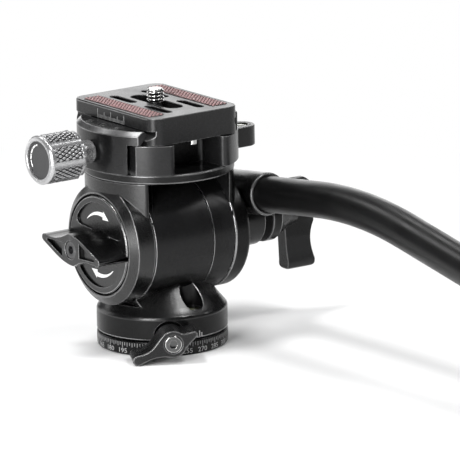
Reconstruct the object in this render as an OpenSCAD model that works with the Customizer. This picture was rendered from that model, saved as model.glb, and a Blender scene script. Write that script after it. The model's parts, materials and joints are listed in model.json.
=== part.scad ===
// Two-axis fluid video head with a dovetail clamp, a quick-release plate and a pan handle.
// Millimetres. The origin is on the pan axis at the underside of the base.
// +Z is up, +X runs along the tilt axis to the handle side and -Y faces the operator.

/* [Fits] */
// Radial play of shafts, screws and pins in their holes
fit = 0.05; // [0.03:0.01:0.09]
// Gap between faces that move past each other
run_gap = 0.3; // [0.2:0.05:0.4]
// Play of the release plate in its clamp
slip = 0.1; // [0.05:0.05:0.2]
// Break of the outer edges
edge = 0.4; // [0.2:0.1:0.6]

/* [Base] */
// Radius of the scale ring and of the pan housing
base_r = 23.7; // [23.2:0.1:24]
// Height of the scale ring
base_h = 5.5; // [5:0.1:5.6]
// Floor thickness inside the scale ring
base_floor = 3.2; // [2.8:0.1:3.4]
// Wall of the scale ring
rim_w = 2.4; // [2:0.1:2.8]
// Radius of the tripod thread, 3/8 inch
socket_r = 4.7625; // [4:0.0125:5]
// Length of the tripod thread
socket_len = 9; // [7:0.5:10]
// Wall of the threaded bush
bush_wall = 1.75; // [1.5:0.05:2]
// Radius of the base screws
base_screw_r = 1.5; // [1.25:0.25:1.5]
// Length of the base screws
base_screw_len = 7; // [6:0.5:8]
// Pitch radius of the base screws
base_screw_ring = 10; // [9.6:0.1:10.4]

/* [Pan bearing] */
// Height of the spindle's foot
foot_h = 2.6; // [2.4:0.1:3]
// Radius of the spindle's foot
foot_r = 13.5; // [12.5:0.5:14]
// Radius of the spindle's flange, which is also the brake drum
flange_r = 17; // [16.5:0.1:17.2]
// Thickness of the spindle's flange
flange_t = 3.4; // [3:0.1:3.6]
// Radius of the spindle's pilot
pilot_r = 7; // [6.5:0.1:7.4]
// Length of the spindle's pilot
pilot_len = 7.3; // [6:0.1:7.5]
// Wall of the pan bush
pan_bush_wall = 1.5; // [1.2:0.1:1.8]
// Thickness of the thrust washers
thrust_t = 0.7; // [0.5:0.1:0.8]
// Inner radius of the housing's skirt
skirt_r = 18.5; // [18.2:0.1:18.8]

/* [Pan housing] */
// Height at which the straight wall ends
wall_top = 13.2; // [12.5:0.1:14]
// Radius of the shoulder
shoulder_r = 2; // [1.5:0.1:2.4]
// Slope of the dome from the vertical
dome_angle = 38; // [34:1:40]
// Height of the dome's top, inside the drum
dome_top = 25; // [24.5:0.1:25.5]
// Sideways place of the bubble level in the dome
base_level_x = 0; // [-2:0.5:2]
// Distance of that level in front of the pan axis
base_level_y = 18.3; // [17.5:0.1:18.4]
// Radius of its pocket
base_level_r = 4.1; // [3.6:0.1:4.2]
// Height of the level's top face
base_level_top = 16; // [15:0.1:16.2]
// Height of the level's cup
base_level_h = 3.2; // [2.5:0.1:3.5]

/* [Pan lock lever] */
// Direction of the lever's axis, from -Y towards +X
lever_turn = -29; // [-35:1:-25]
// Distance of the lever's front face from the pan axis
lever_face = 35.5; // [34:0.5:37]
// Radius of the lever's hub
lever_hub_r = 5; // [4.6:0.1:5.2]
// Width of the round groove in the housing behind the hub
lever_groove = 0.6; // [0.4:0.1:1]
// Reach of the long arm's tip from the axis
lever_reach = 14.5; // [12.5:0.1:14.8]
// Reach of the short arm's tip from the axis
lever_tail = 8.7; // [7:0.1:10]
// Radius of the lock screw
lever_screw_r = 1.5; // [1.25:0.25:1.5]
// Radius of the lock screw's head
lever_head_r = 3.1; // [2.8:0.1:3.3]
// Radius of the brake shoe
shoe_r = 2.1; // [1.8:0.1:2.2]
// Length of the brake shoe
shoe_len = 2.2; // [1.8:0.1:2.4]

/* [Tilt drum] */
// Height of the tilt axis
tilt_z = 40; // [39.5:0.1:41]
// Radius of the drum
drum_r = 22; // [21.6:0.1:22.2]
// Length of the drum
drum_len = 34.6; // [34:0.1:35]
// Length of the drum's screwed-on right end
cap_len = 9.3; // [8.5:0.1:10]
// Wall of the drum
drum_wall = 3.5; // [3:0.1:3.8]
// Thickness of the drum's end walls
drum_end = 3.3; // [3:0.1:3.6]
// Length of the cap's spigot in the drum
spigot_len = 3; // [2:0.1:3.2]
// Radius of the tilt axle
axle_r = 6; // [5.6:0.1:6.4]
// Wall of the tilt bushes
tilt_bush_wall = 2.4; // [2:0.1:2.8]
// Number of discs that turn with the axle
rotor_count = 5; // [3:1:5]
// Thickness of those discs
rotor_t = 1.2; // [1:0.05:1.25]
// Thickness of the still discs between them
stator_t = 1.4; // [1.2:0.05:1.45]
// Section radius of the shaft seals
seal_r = 1; // [0.8:0.05:1.1]

/* [Yoke] */
// Radius of the cheeks
cheek_r = 22.2; // [21.8:0.1:22.3]
// Thickness of the cheeks
cheek_t = 7.4; // [7:0.1:7.6]
// Length of the coned collar round the tilt knob
collar_len = 2.3; // [1.8:0.1:2.8]
// Radius of the collar's end
collar_r = 19; // [18.9:0.1:19.4]
// Radius of the yoke's upright sides
yoke_r = 26.9; // [26.4:0.1:27]
// Round of the sides' inner upright edges
yoke_round = 1.1; // [0.6:0.1:1.6]
// Height of the platform's underside above the tilt axis
platform_rise = 24.2; // [24:0.1:25]
// Radius of the platform
platform_r = 27.1; // [27:0.1:27.6]
// Thickness of the platform
platform_t = 3.5; // [3.2:0.1:4]

/* [Tilt knob] */
// Radius of the knob's disc
knob_disc_r = 17.9; // [17:0.1:18]
// Thickness of the disc
knob_disc_t = 2.8; // [2.4:0.1:3]
// Reach of the wings from the axis
wing_reach = 17.6; // [16:0.1:18]
// Height of the wings above the disc
wing_h = 12.2; // [11:0.1:13]
// Half width of the wings at the hub
wing_crown = 5.7; // [5.2:0.1:6]
// Radius of the lock stud
lock_stud_r = 3; // [2.5:0.1:3.2]
// Radius of the knob screw's head
knob_head_r = 3.3; // [3:0.1:3.6]

/* [Clamp] */
// Radius of the clamp
clamp_r = 28.7; // [28.4:0.1:29]
// Height of the clamp's floor above the platform
clamp_h = 10.9; // [10.6:0.1:11.4]
// Width of the moving side, from the split to the clamp's rim
split_in = 6.1; // [5.9:0.1:6.5]
// Width of the split in front of the moving jaw
split_w = 2.2; // [1.8:0.1:2.3]
// How far the moving jaw stands out past the clamp's circle
jaw_out = 0.8; // [0.4:0.1:1]
// Half length of the jaws along the plate
jaw_half_l = 19; // [17:0.1:19.4]
// Half length of the fixed jaw
fixed_half_l = 14; // [12:0.1:14.5]
// Height of the jaws above the clamp's floor
jaw_h = 5.2; // [5:0.1:5.3]
// Reach of the jaws' lips over the plate's foot
lip = 1.4; // [1.1:0.1:1.6]
// Half width of the recesses in the clamp's front and back
recess_half = 10; // [9:0.1:10.4]
// Distance of the recesses' inner walls from the pan axis
recess_y = 12.5; // [12:0.1:14]
// Round of the recesses' outer corners
recess_round = 2.4; // [1.6:0.1:3]
// Height of the lead screw above the platform
lead_h = 7.2; // [6.4:0.1:7.4]
// Radius of the lead screw
lead_r = 2.5; // [2:0.1:2.6]
// Depth of the lead screw in the fixed half
lead_grip = 13; // [11:0.5:14]
// Depth of the lead screw in its knob
lead_in = 6; // [5:0.5:8]
// Radius of the guide pins
guide_r = 1.5; // [1.2:0.1:1.6]
// Depth of the guide pins in the fixed half
guide_grip = 10; // [8:0.5:11]
// Distance of the guide pins from the lead screw
guide_y = 9.5; // [9:0.1:10]
// Distance of the side level from the pan axis
side_level_x = 36.4; // [36:0.1:37]
// Radius of the side level's tab
side_level_tab_r = 5.2; // [4.8:0.1:5.4]
// Height of the tab
side_level_h = 7.4; // [6.5:0.1:8]
// Radius of the side level's cup
side_level_r = 3.6; // [3:0.1:3.8]

/* [Clamp knob] */
// Radius of the knob
grip_knob_r = 8.9; // [8.4:0.1:9.4]
// Length of the knurled part
grip_knob_len = 15.4; // [13:0.1:16]
// Length of the neck
knob_neck_len = 7.8; // [7:0.1:9]
// Radius of the neck
knob_neck_r = 4.2; // [3.8:0.1:4.8]
// Number of smooth flutes
flute_count = 8; // [6:1:10]
// Depth of the flutes
flute_depth = 0.6; // [0.4:0.1:0.8]
// Radius of the disc in the knob's end
knob_cap_r = 6.85; // [6:0.05:7.2]

/* [Release plate] */
// Width of the plate
plate_w = 38.6; // [38:0.1:39]
// Length of the plate
plate_l = 50.6; // [50:0.1:60]
// Thickness of the plate
plate_t = 10; // [9.8:0.1:11]
// Place of the plate's middle along the clamp
plate_y = 1.4; // [0:0.1:2]
// Corner radius of the plate
plate_corner = 4.6; // [3:0.1:5]
// Height of the plate's foot below the dovetail
plate_foot = 1.85; // [1.7:0.05:1.95]
// Depth of the dovetail
dovetail = 2; // [1.8:0.05:2.1]
// Thickness of the plate's top slab
slab_t = 4.8; // [4.6:0.1:4.9]
// Width of the rubber strips
pad_w = 7.4; // [6:0.1:7.6]
// Length of the rubber strips
pad_l = 41.6; // [38:0.1:44]
// Distance of the strips' middles from the plate's middle
pad_x = 14; // [13:0.1:14.4]
// Corner radius of the strips
pad_round = 2.4; // [1:0.1:3]
// Depth of the strips' beds
pad_bed = 0.8; // [0.6:0.1:1]
// How far the strips stand proud
pad_proud = 0.35; // [0.2:0.05:0.5]
// Distance of the narrow slots from the plate's middle
slot_x = 7; // [6.9:0.05:7.2]
// Width of the narrow slots
slot_w = 3.2; // [2.8:0.1:3.4]
// Length of the narrow slots
slot_l = 14.6; // [12:0.1:15]
// Distance between the middles of the two slots in a column
slot_pitch = 21.8; // [20:0.1:22]
// Distance of the slots' middle in front of the plate's middle
slot_shift = 0.7; // [0:0.1:1]
// Length of the middle slot
mid_slot_l = 27.4; // [24:0.1:30]
// Radius of the camera screw, 1/4 inch
camera_r = 3.175; // [2.5:0.025:3.175]
// Length of the camera screw above the plate
camera_proud = 4.8; // [4.5:0.1:6]
// Radius of the camera screw's head
camera_head_r = 6.6; // [6:0.1:7]
// Distance of the stop screws from the plate's middle
stop_y = 22.6; // [22:0.1:23]
// Radius of the stop screws
stop_r = 1.6; // [1.2:0.1:1.8]
// Depth of the stop screws below the plate
stop_drop = 1.7; // [1.2:0.1:2]
// Depth of the stop screws in the plate
stop_in = 4; // [3:0.1:4.6]

/* [Handle] */
// Distance of the tube's middle from the pan axis
handle_x = 33.3; // [33.2:0.1:33.5]
// Radius of the tube
tube_r = 6.6; // [6.2:0.1:6.7]
// Wall of the tube
tube_wall = 1.5; // [1.2:0.1:2]
// Wall of the collar round the tube
collar_wall = 1.2; // [1:0.1:1.2]
// Distance of the tube's line above the tilt axis
handle_offset = 10.8; // [10.5:0.1:11.5]
// Upward slope of the tube at the head
tube_pitch = 6.5; // [5:0.5:9]
// Length of the collar in front of the tilt axis
collar_front = 22.5; // [20:0.1:24]
// Length of the collar behind the tilt axis
collar_back = 9; // [7:0.1:10]
// Distance of the tube's inner end in front of the tilt axis
tube_seat = 5.2; // [5:0.1:8]
// Straight tube in front of the collar
tube_start = 29; // [20:0.1:32]
// Bend radius of the tube's middle line
bend_r = 174; // [150:1:200]
// Angle of the bend
bend_angle = 17.5; // [12:0.5:22]
// Straight tube after the bend
tube_end = 112; // [90:1:130]
// Length of the rubber grip
grip_len = 62; // [50:1:64]
// Wall of the rubber grip
grip_wall = 1.7; // [1.4:0.1:1.8]
// Length of the end cap
end_cap_len = 5; // [4:0.5:7]
// Radius of the hub on the tilt axis
hub_r = 10; // [9.4:0.1:10.4]
// Outer face of the hub along the tilt axis
hub_face = 40.2; // [40.1:0.1:41]
// Radius of the friction washer beside the hub
washer_r = 7.6; // [7:0.1:8]
// Radius of the axle's threaded right end
stud_r = 4; // [3.5:0.1:4.4]
// Length of the dark ring beside the hub
spacer_len = 3.1; // [2.5:0.1:3.5]
// Radius of the dark ring
spacer_r = 9.4; // [8.8:0.1:9.6]

/* [Handle knob] */
// Radius of the knob's flange
handle_knob_r = 9.7; // [9.2:0.1:10]
// Thickness of the flange
handle_knob_t = 4.7; // [4:0.1:5]
// Distance of the wing's edge from the flange
wing_root = 6.5; // [5.5:0.1:7]
// Width of the wing along the axis
wing_w = 12.4; // [11:0.1:14]
// Thickness of the wing
wing_t = 5; // [4.4:0.1:5.6]
// Extra thickness of the wing at its long end
wing_flare = 1; // [0.6:0.1:1.4]
// Reach of the long wing
wing_long = 22; // [20:0.1:24]
// Reach of the short wing
wing_short = 11.6; // [10:0.1:12]

/* [Hidden] */
$fn = 96;

black = [0.09, 0.09, 0.1];
dark = [0.04, 0.04, 0.045];
steel = [0.7, 0.7, 0.72];
rubber = [0.45, 0.27, 0.26];

// Heights of the base and the pan bearing
bush_r = socket_r + bush_wall;
screw_sink = 0.2;
bush_top = socket_len;
rim_in = base_r - rim_w;
foot_z = base_floor;
flange_z = foot_z + foot_h;
flange_top = flange_z + flange_t;
pilot_top = flange_top + pilot_len;
roof_z = flange_top + fit + thrust_t;
pan_bush_r = pilot_r + fit + pan_bush_wall;
skirt_out = rim_in - run_gap;
skirt_z = base_floor + run_gap;
ring_top = flange_z - fit - thrust_t;
ring_in = foot_r + run_gap;
thrust_r = flange_r - run_gap;
spindle_bore = socket_r + run_gap;
spindle_depth = pilot_top - 2.5;
wall_z = base_h + run_gap;
neck_clear = 1;

// Lock lever: its axis crosses the middle of the brake drum
lever_z = flange_z + flange_t / 2;
lever_back = base_r + 0.4;
recess_floor = skirt_out + 0.4;
lever_head_h = 2.6;
shoe_tip = flange_r + run_gap / 2;
arm_r = 1.9;
lever_lift = 2.4;
lever_recess_r = lever_hub_r + lever_groove;

// Places along the tilt axis
drum_x = drum_len / 2;
cap_x = drum_x - cap_len;
cavity_r = drum_r - drum_wall;
cavity_x = drum_x - drum_end;
tilt_bush_r = axle_r + fit + tilt_bush_wall;
bush_flange_r = tilt_bush_r + 1.6;
bush_flange_t = 0.9;
spigot_x = cap_x - spigot_len;
spigot_wall = 2.4;
stack_pitch = rotor_t + stator_t + 2 * run_gap;
stack_x = -cavity_x + bush_flange_t + run_gap;
rotor_r = cavity_r - 0.8;
stator_in = axle_r + 1;
seal_ring_r = tilt_bush_r + 3.6;
seal_x = drum_x + run_gap / 2 - seal_r;
cheek_in = drum_x + run_gap;
cheek_out = cheek_in + cheek_t;
collar_x = cheek_out + collar_len;
seat_r = knob_disc_r + 0.6;
disc_in = collar_x + 0.2 - knob_disc_t;
seat_x = disc_in - run_gap;
disc_out = disc_in + knob_disc_t;
wing_out = disc_out + wing_h;
axle_left = seat_x - 0.6;
axle_step = cheek_out - 3;
stud_depth = 12;
stud_inset = 4;
knob_head_h = 3;
knob_screw_r = 1.5;
knob_screw_len = 7;

// Heights of the platform, the clamp and the plate
platform_z = tilt_z + platform_rise;
platform_top = platform_z + platform_t;
clamp_top = platform_top + clamp_h;
jaw_top = clamp_top + jaw_h;
jaw_under = clamp_top + run_gap;
split_x = clamp_r - split_in;
jaw_x = split_x + split_w;
jaw_travel = 4;
lead_z = platform_top + lead_h;
lead_end = split_x - lead_grip;
guide_end = split_x - guide_grip;
jaw_rim = clamp_r + jaw_out;
jaw_chamfer = 1.6;
plate_z = clamp_top + slip;
plate_top = plate_z + plate_t;
foot_top = plate_z + plate_foot;
slab_z = plate_top - slab_t;
lip_x = plate_w / 2 - lip;
lip_z = foot_top + lip + 2.5 * slip;
mid_slot_w = 2 * (camera_r + 0.15);
head_bed = 3.4;
head_t = 2.7;
camera_neck_r = camera_r - 0.6;
knob_face = jaw_rim + knob_neck_len;
knob_end = knob_face + grip_knob_len;
cap_bed = 1.8;
cap_sink = 0.8;
side_level_z = platform_top + side_level_h;
level_cup_h = 4.6;
level_wall = 0.7;

// Places along the handle
hub_in = cheek_out + 1;
spacer_x = hub_face + fit;
handle_knob_x = spacer_x + spacer_len + slip;
blade_x = handle_knob_x + handle_knob_t + wing_root;
blade_end = blade_x + wing_w;
stud_end = handle_knob_x + handle_knob_t + 3;
handle_collar_r = tube_r + fit + collar_wall;
tube_run = collar_front + tube_start;
grip_r = tube_r + fit + grip_wall;

// Points of an arc, from angle a to angle b
function arc(centre, r, a, b, steps = 8) = [
  for (i = [0 : steps]) let (t = a + (b - a) * i / steps) centre + r * [cos(t), sin(t)]
];

// Points of a cubic curve through its two ends
function curve(p, q, r, s, steps = 10) = [
  for (i = [0 : steps]) let (t = i / steps, u = 1 - t)
    u * u * u * p + 3 * u * u * t * q + 3 * u * t * t * r + t * t * t * s
];

// Plain ring on the Z axis
module ring(r_out, r_in, h) {
  rotate_extrude() translate([r_in, 0]) square([r_out - r_in, h]);
}

// Rod along X
module rod_x(r, x0, x1, y = 0, z = tilt_z) {
  translate([x0, y, z]) rotate([0, 90, 0]) cylinder(r = r, h = x1 - x0);
}

// Revolve about the tilt axis: each point is a radius and a place along X
module turned_x(points) {
  translate([0, 0, tilt_z]) rotate([0, 90, 0]) rotate_extrude() polygon(points);
}

// Socket-head screw that points down, with the seat of its head at the origin
module socket_screw(r, head_r, head_h, len) {
  difference() {
    rotate_extrude() polygon([
      [0, head_h], [head_r - edge / 2, head_h], [head_r, head_h - edge / 2],
      [head_r, 0], [r, 0], [r, -len], [0, -len]
    ]);
    translate([0, 0, head_h * 0.4]) cylinder(r = head_r * 0.5, h = head_h, $fn = 6);
  }
}

// Countersunk screw that points down, with the top of its head at the origin
module flat_screw(r, len) {
  head_r = 2 * r;
  difference() {
    rotate_extrude() polygon([
      [0, 0], [head_r, 0], [head_r, -edge / 2], [r, -edge / 2 - r], [r, -len], [0, -len]
    ]);
    translate([0, 0, -0.8 * r]) cylinder(r = r * 0.75, h = 2 * r, $fn = 6);
  }
}

// Hole for such a screw, open above
module flat_screw_hole(r, len) {
  head_r = 2 * r + fit;
  rotate_extrude() polygon([
    [0, 1], [head_r, 1], [head_r, -edge / 2 - fit], [r + fit, -edge / 2 - fit - r],
    [r + fit, -len - fit], [0, -len - fit]
  ]);
}

// Rounded rectangle
module round_rect(w, l, r) {
  square([w - 2 * r, l], center = true);
  square([w, l - 2 * r], center = true);
  for (x = [-1, 1], y = [-1, 1]) translate([x * (w / 2 - r), y * (l / 2 - r)]) circle(r);
}

// Waste outside a round of radius r about c, between the directions a and b to its tangent points
module corner_waste(c, r, a, b) {
  mid = (a + b) / 2;
  difference() {
    polygon([c, c + 1.2 * r * [cos(a), sin(a)], c + 2.6 * r * [cos(mid), sin(mid)], c + 1.2 * r * [cos(b), sin(b)]]);
    translate(c) circle(r);
  }
}

// Waste at the corner where a wall at x = wall meets a circle, on the side of growing x
module rim_corner(circle_r, wall, r) {
  c = [wall + r, sqrt(pow(circle_r - r, 2) - pow(wall + r, 2))];
  corner_waste(c, r, atan2(c[1], c[0]), 180);
}

// Slot with round ends along Y
module slot(w, l) {
  square([w, l - w], center = true);
  for (y = [-1, 1]) translate([0, y * (l - w) / 2]) circle(w / 2);
}

// Three places on a circle
module three_times(ring_r, start = 0) {
  for (i = [0 : 2]) rotate(start + 120 * i) translate([ring_r, 0, 0]) children();
}

// Lever frame: x to the right and y up as seen from in front, z outwards
module on_lever_axis() {
  translate([0, 0, lever_z]) rotate(lever_turn) rotate([90, 0, 0]) children();
}

// Frame of the tilt knob: x to the right and y up as seen from the left, z outwards
module on_left_axis() {
  translate([0, 0, tilt_z]) rotate([90, 0, -90]) children();
}

// Frame of the handle's tube: z forwards along it, y up, origin above the tilt axis
module on_tube_line() {
  translate([handle_x, 0, tilt_z]) rotate([90 - tube_pitch, 0, 0])
    translate([0, handle_offset, 0]) children();
}

// Places of the straight end of the tube, in the tube's frame
module after_bend() {
  translate([0, -bend_r, tube_run]) rotate([bend_angle, 0, 0]) translate([0, bend_r, 0]) children();
}

module base_plate() {
  color(black) difference() {
    rotate_extrude() polygon([
      [bush_r + fit, 0], [base_r - 1.5 * edge, 0], [base_r, 1.5 * edge],
      [base_r, base_h - edge], [base_r - edge, base_h], [rim_in, base_h],
      [rim_in, base_floor], [bush_r + fit, base_floor]
    ]);
    three_times(base_screw_ring)
      translate([0, 0, screw_sink]) rotate([180, 0, 0]) flat_screw_hole(base_screw_r, base_screw_len);
  }
}

module tripod_bush() {
  color("goldenrod") ring(bush_r, socket_r, socket_len);
}

module pan_spindle() {
  color(steel) difference() {
    rotate_extrude() polygon([
      [bush_r + fit, foot_z], [foot_r, foot_z], [foot_r, flange_z], [flange_r, flange_z],
      [flange_r, flange_top], [pilot_r, flange_top], [pilot_r, pilot_top - edge],
      [pilot_r - edge, pilot_top], [0, pilot_top], [0, spindle_depth], [spindle_bore, spindle_depth],
      [spindle_bore, bush_top + fit], [bush_r + fit, bush_top + fit]
    ]);
    three_times(base_screw_ring)
      translate([0, 0, screw_sink]) rotate([180, 0, 0]) flat_screw_hole(base_screw_r, base_screw_len);
  }
}

module base_screws() {
  color(steel) three_times(base_screw_ring)
    translate([0, 0, screw_sink]) rotate([180, 0, 0]) flat_screw(base_screw_r, base_screw_len);
}

// Dome, shoulder and skirt of the pan housing
module pan_dome() {
  shoulder = arc([base_r - shoulder_r, wall_top], shoulder_r, 0, 90 - dome_angle);
  last = shoulder[len(shoulder) - 1];
  rotate_extrude() polygon(concat(
    [[skirt_r, skirt_z], [skirt_out, skirt_z], [skirt_out, wall_z],
     [base_r - edge, wall_z], [base_r, wall_z + edge]],
    shoulder,
    [[last[0] - (dome_top - last[1]) * tan(dome_angle), dome_top], [0, dome_top],
     [0, pilot_top + neck_clear], [pan_bush_r + fit, pilot_top + neck_clear],
     [pan_bush_r + fit, roof_z], [skirt_r, roof_z]]
  ));
}

module pan_housing() {
  side = 2 * base_r;
  color(dark) difference() {
    union() {
      difference() {
        pan_dome();
        for (x = [drum_x, -drum_x - side])
          translate([x, -base_r, tilt_z - cheek_r - run_gap]) cube([side, 2 * base_r, drum_r]);
        translate([base_level_x, -base_level_y, base_level_top - base_level_h])
          cylinder(r = base_level_r, h = dome_top);
        on_lever_axis() translate([0, 0, recess_floor]) cylinder(r = lever_recess_r, h = base_r);
      }
      rod_x(drum_r, -drum_x, cap_x);
    }
    rod_x(cavity_r, -cavity_x, cap_x + 1);
    rod_x(drum_r + fit, cap_x, base_r);
    rod_x(tilt_bush_r + fit, -drum_x - 1, -cavity_x + 1);
    seal_groove(-1);
    on_lever_axis() cylinder(r = lever_screw_r + fit, h = base_r);
    on_lever_axis() cylinder(r = shoe_r + fit, h = shoe_tip + shoe_len + fit);
    for (a = [0 : 90 : 270]) cap_screw_at(a) cap_screw_hole();
  }
}

// Groove of a shaft seal in an end face of the drum
module seal_groove(side) {
  translate([side * drum_x, 0, tilt_z]) rotate([0, side * 90, 0])
    translate([0, 0, -2 * seal_r]) ring(seal_ring_r + seal_r + fit, seal_ring_r - seal_r - fit, 3 * seal_r);
}

// Place of a drum cap screw, in its counterbore behind the cap's end face
cap_screw_ring = drum_r - drum_wall / 2 - 0.1;
cap_screw_r = 0.8;
cap_screw_len = cap_len + 3;
module cap_screw_at(a) {
  translate([drum_x - run_gap, 0, tilt_z]) rotate([a + 45, 0, 0]) translate([0, 0, cap_screw_ring])
    rotate([0, 90, 0]) children();
}
module cap_screw_hole() {
  flat_screw_hole(cap_screw_r, cap_screw_len);
}

module drum_cap() {
  color(dark) difference() {
    turned_x([
      [tilt_bush_r + fit, drum_x], [drum_r, drum_x], [drum_r, cap_x + edge / 2], [drum_r - edge / 2, cap_x],
      [cavity_r - fit, cap_x], [cavity_r - fit, spigot_x], [cavity_r - spigot_wall, spigot_x],
      [cavity_r - spigot_wall, cavity_x], [tilt_bush_r + fit, cavity_x]
    ]);
    seal_groove(1);
    for (a = [0 : 90 : 270]) cap_screw_at(a) cap_screw_hole();
  }
}

module cap_screws() {
  color(steel) for (a = [0 : 90 : 270]) cap_screw_at(a) flat_screw(cap_screw_r, cap_screw_len);
}

module pan_bush() {
  color("ivory") translate([0, 0, roof_z]) ring(pan_bush_r, pilot_r + fit, pilot_top - roof_z);
}

module thrust_washers() {
  color("ivory") {
    translate([0, 0, ring_top]) ring(thrust_r, ring_in, thrust_t);
    translate([0, 0, roof_z - thrust_t]) ring(thrust_r, pilot_r + fit, thrust_t);
  }
}

module retaining_ring() {
  color(steel) translate([0, 0, skirt_z]) ring(skirt_r - fit, ring_in, ring_top - skirt_z);
}

module brake_shoe() {
  color("goldenrod") on_lever_axis() translate([0, 0, shoe_tip]) cylinder(r = shoe_r, h = shoe_len);
}

// Round cup of a bubble level, standing on its floor
module level_cup(r, h) {
  rotate_extrude() polygon([
    [0, 0], [r, 0], [r, h - edge / 2], [r - edge / 2, h], [r - level_wall, h], [r - level_wall, level_wall],
    [0, level_wall]
  ]);
}

// Domed capsule of a bubble level
module level_vial(r, h) {
  translate([0, 0, level_wall + fit])
    cylinder(r = r - level_wall - fit, h = h - 2 * level_wall - fit);
}

module at_base_level() {
  translate([base_level_x, -base_level_y, base_level_top - base_level_h]) children();
}

module base_level_cup() {
  color(black) at_base_level() level_cup(base_level_r - fit, base_level_h);
}

module base_level_vial() {
  color("yellowgreen") at_base_level() level_vial(base_level_r - fit, base_level_h);
}

module tilt_bushes() {
  color("ivory") for (s = [0, 1]) translate([0, 0, tilt_z]) mirror([s, 0, 0]) translate([0, 0, -tilt_z])
    turned_x([
      [axle_r + fit, cavity_x - bush_flange_t], [bush_flange_r, cavity_x - bush_flange_t],
      [bush_flange_r, cavity_x], [tilt_bush_r, cavity_x], [tilt_bush_r, drum_x], [axle_r + fit, drum_x]
    ]);
}

module shaft_seals() {
  color("dimgray") for (s = [-1, 1]) translate([s * seal_x, 0, tilt_z]) rotate([0, 90, 0])
    rotate_extrude() translate([seal_ring_r, 0]) circle(seal_r, $fn = 24);
}

module damping_stators() {
  color(steel) for (i = [0 : rotor_count]) let (x = stack_x + i * stack_pitch)
    turned_x([
      [stator_in, x], [cavity_r - fit, x], [cavity_r - fit, x + stator_t], [stator_in, x + stator_t]
    ]);
}

module damping_rotors() {
  color("silver") for (i = [0 : rotor_count - 1])
    let (x = stack_x + i * stack_pitch + stator_t + run_gap)
    turned_x([[axle_r + fit, x], [rotor_r, x], [rotor_r, x + rotor_t], [axle_r + fit, x + rotor_t]]);
}

// Outline of the lever: a round hub, a long drooping arm and a short raised one
module lever_outline() {
  u = lever_hub_r / 5;
  tip = [-lever_reach + arm_r, -6 * u];
  tail_r = 1.3 * u;
  tail = [lever_tail - tail_r, 3.6 * u];
  tip_arc = arc(tip, arm_r, 105, 285);
  tail_arc = arc(tail, tail_r, -25, 100);
  circle(lever_hub_r);
  polygon(concat(
    curve(u * [-1, 4.8], u * [-6.2, 4.2], u * [-4.8, -3.1], tip_arc[0]),
    tip_arc,
    curve(tip_arc[8], u * [-9.2, -6.8], u * [-7, -4.2], u * [0, -4.9]),
    curve(u * [4.1, -2.5], u * [5.2, -0.5], u * [6.6, 0.8], tail_arc[0]),
    tail_arc,
    curve(tail_arc[8], u * [5, 4.2], u * [3.4, 3.4], u * [1, 4.8])
  ));
}

module pan_lever() {
  color(black) on_lever_axis() rotate(-lever_lift) difference() {
    translate([0, 0, lever_back]) linear_extrude(lever_face - lever_back) lever_outline();
    translate([0, 0, lever_face - lever_head_h - fit]) cylinder(r = lever_head_r + fit, h = lever_face);
    cylinder(r = lever_screw_r + fit, h = lever_face);
  }
}

module pan_lock_screw() {
  color(steel) on_lever_axis() translate([0, 0, lever_face - lever_head_h])
    socket_screw(lever_screw_r, lever_head_r, lever_head_h,
                 lever_face - lever_head_h - shoe_tip - shoe_len - fit);
}

// Upright side of the yoke above the tilt axis, between two places along X
module yoke_side(x0, x1) {
  translate([0, 0, tilt_z]) linear_extrude(platform_rise) difference() {
    intersection() {
      circle(yoke_r);
      translate([x0, -yoke_r]) square([x1 - x0, 2 * yoke_r]);
    }
    for (x = [0, 1], y = [0, 1]) mirror([x, 0]) mirror([0, y])
      rim_corner(yoke_r, cheek_in, yoke_round);
  }
}

module left_cheek() {
  color(black) difference() {
    union() {
      turned_x([
        [axle_r + fit, -cheek_in], [cheek_r - edge, -cheek_in], [cheek_r, -cheek_in - edge],
        [cheek_r, -cheek_out], [collar_r, -collar_x], [axle_r + fit, -collar_x]
      ]);
      difference() {
        yoke_side(-yoke_r, -cheek_in);
        rod_x(axle_r + 1, -yoke_r, 0);
      }
    }
    rod_x(seat_r, -collar_x - 1, -seat_x);
    for (y = [-1, 1]) platform_screw_at(-1, y) flat_screw_hole(platform_screw_r, platform_screw_len);
  }
}

module right_cheek() {
  round_r = 2.4;
  color(black) difference() {
    union() {
      turned_x(concat(
        [[axle_r + fit, cheek_in], [cheek_r - edge, cheek_in], [cheek_r, cheek_in + edge]],
        arc([cheek_r - round_r, cheek_out - round_r], round_r, 0, 90),
        [[axle_r + fit, cheek_out]]
      ));
      yoke_side(cheek_in, cheek_out);
      turned_x([[stud_r + fit, axle_step], [axle_r + 1, axle_step], [axle_r + 1, cheek_out], [stud_r + fit, cheek_out]]);
    }
    rod_x(axle_r + fit, cheek_in - 1, axle_step);
    rod_x(stud_r + fit, axle_step - 1, cheek_out + 1);
    for (y = [-1, 1]) platform_screw_at(1, y) flat_screw_hole(platform_screw_r, platform_screw_len);
  }
}

module tilt_axle() {
  color(steel) turned_x([
    [0, -axle_left + stud_depth], [lock_stud_r + fit, -axle_left + stud_depth], [lock_stud_r + fit, -axle_left],
    [axle_r, -axle_left], [axle_r, axle_step - fit], [stud_r, axle_step - fit], [stud_r, stud_end], [0, stud_end]
  ]);
}

// Screws that hold the platform on the cheeks
platform_screw_r = 1.5;
platform_screw_len = 9;
platform_screw_x = cheek_in + cheek_t / 2;
platform_screw_y = 7;
module platform_screw_at(side, y) {
  translate([side * platform_screw_x, y * platform_screw_y, platform_top - fit]) children();
}

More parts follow.
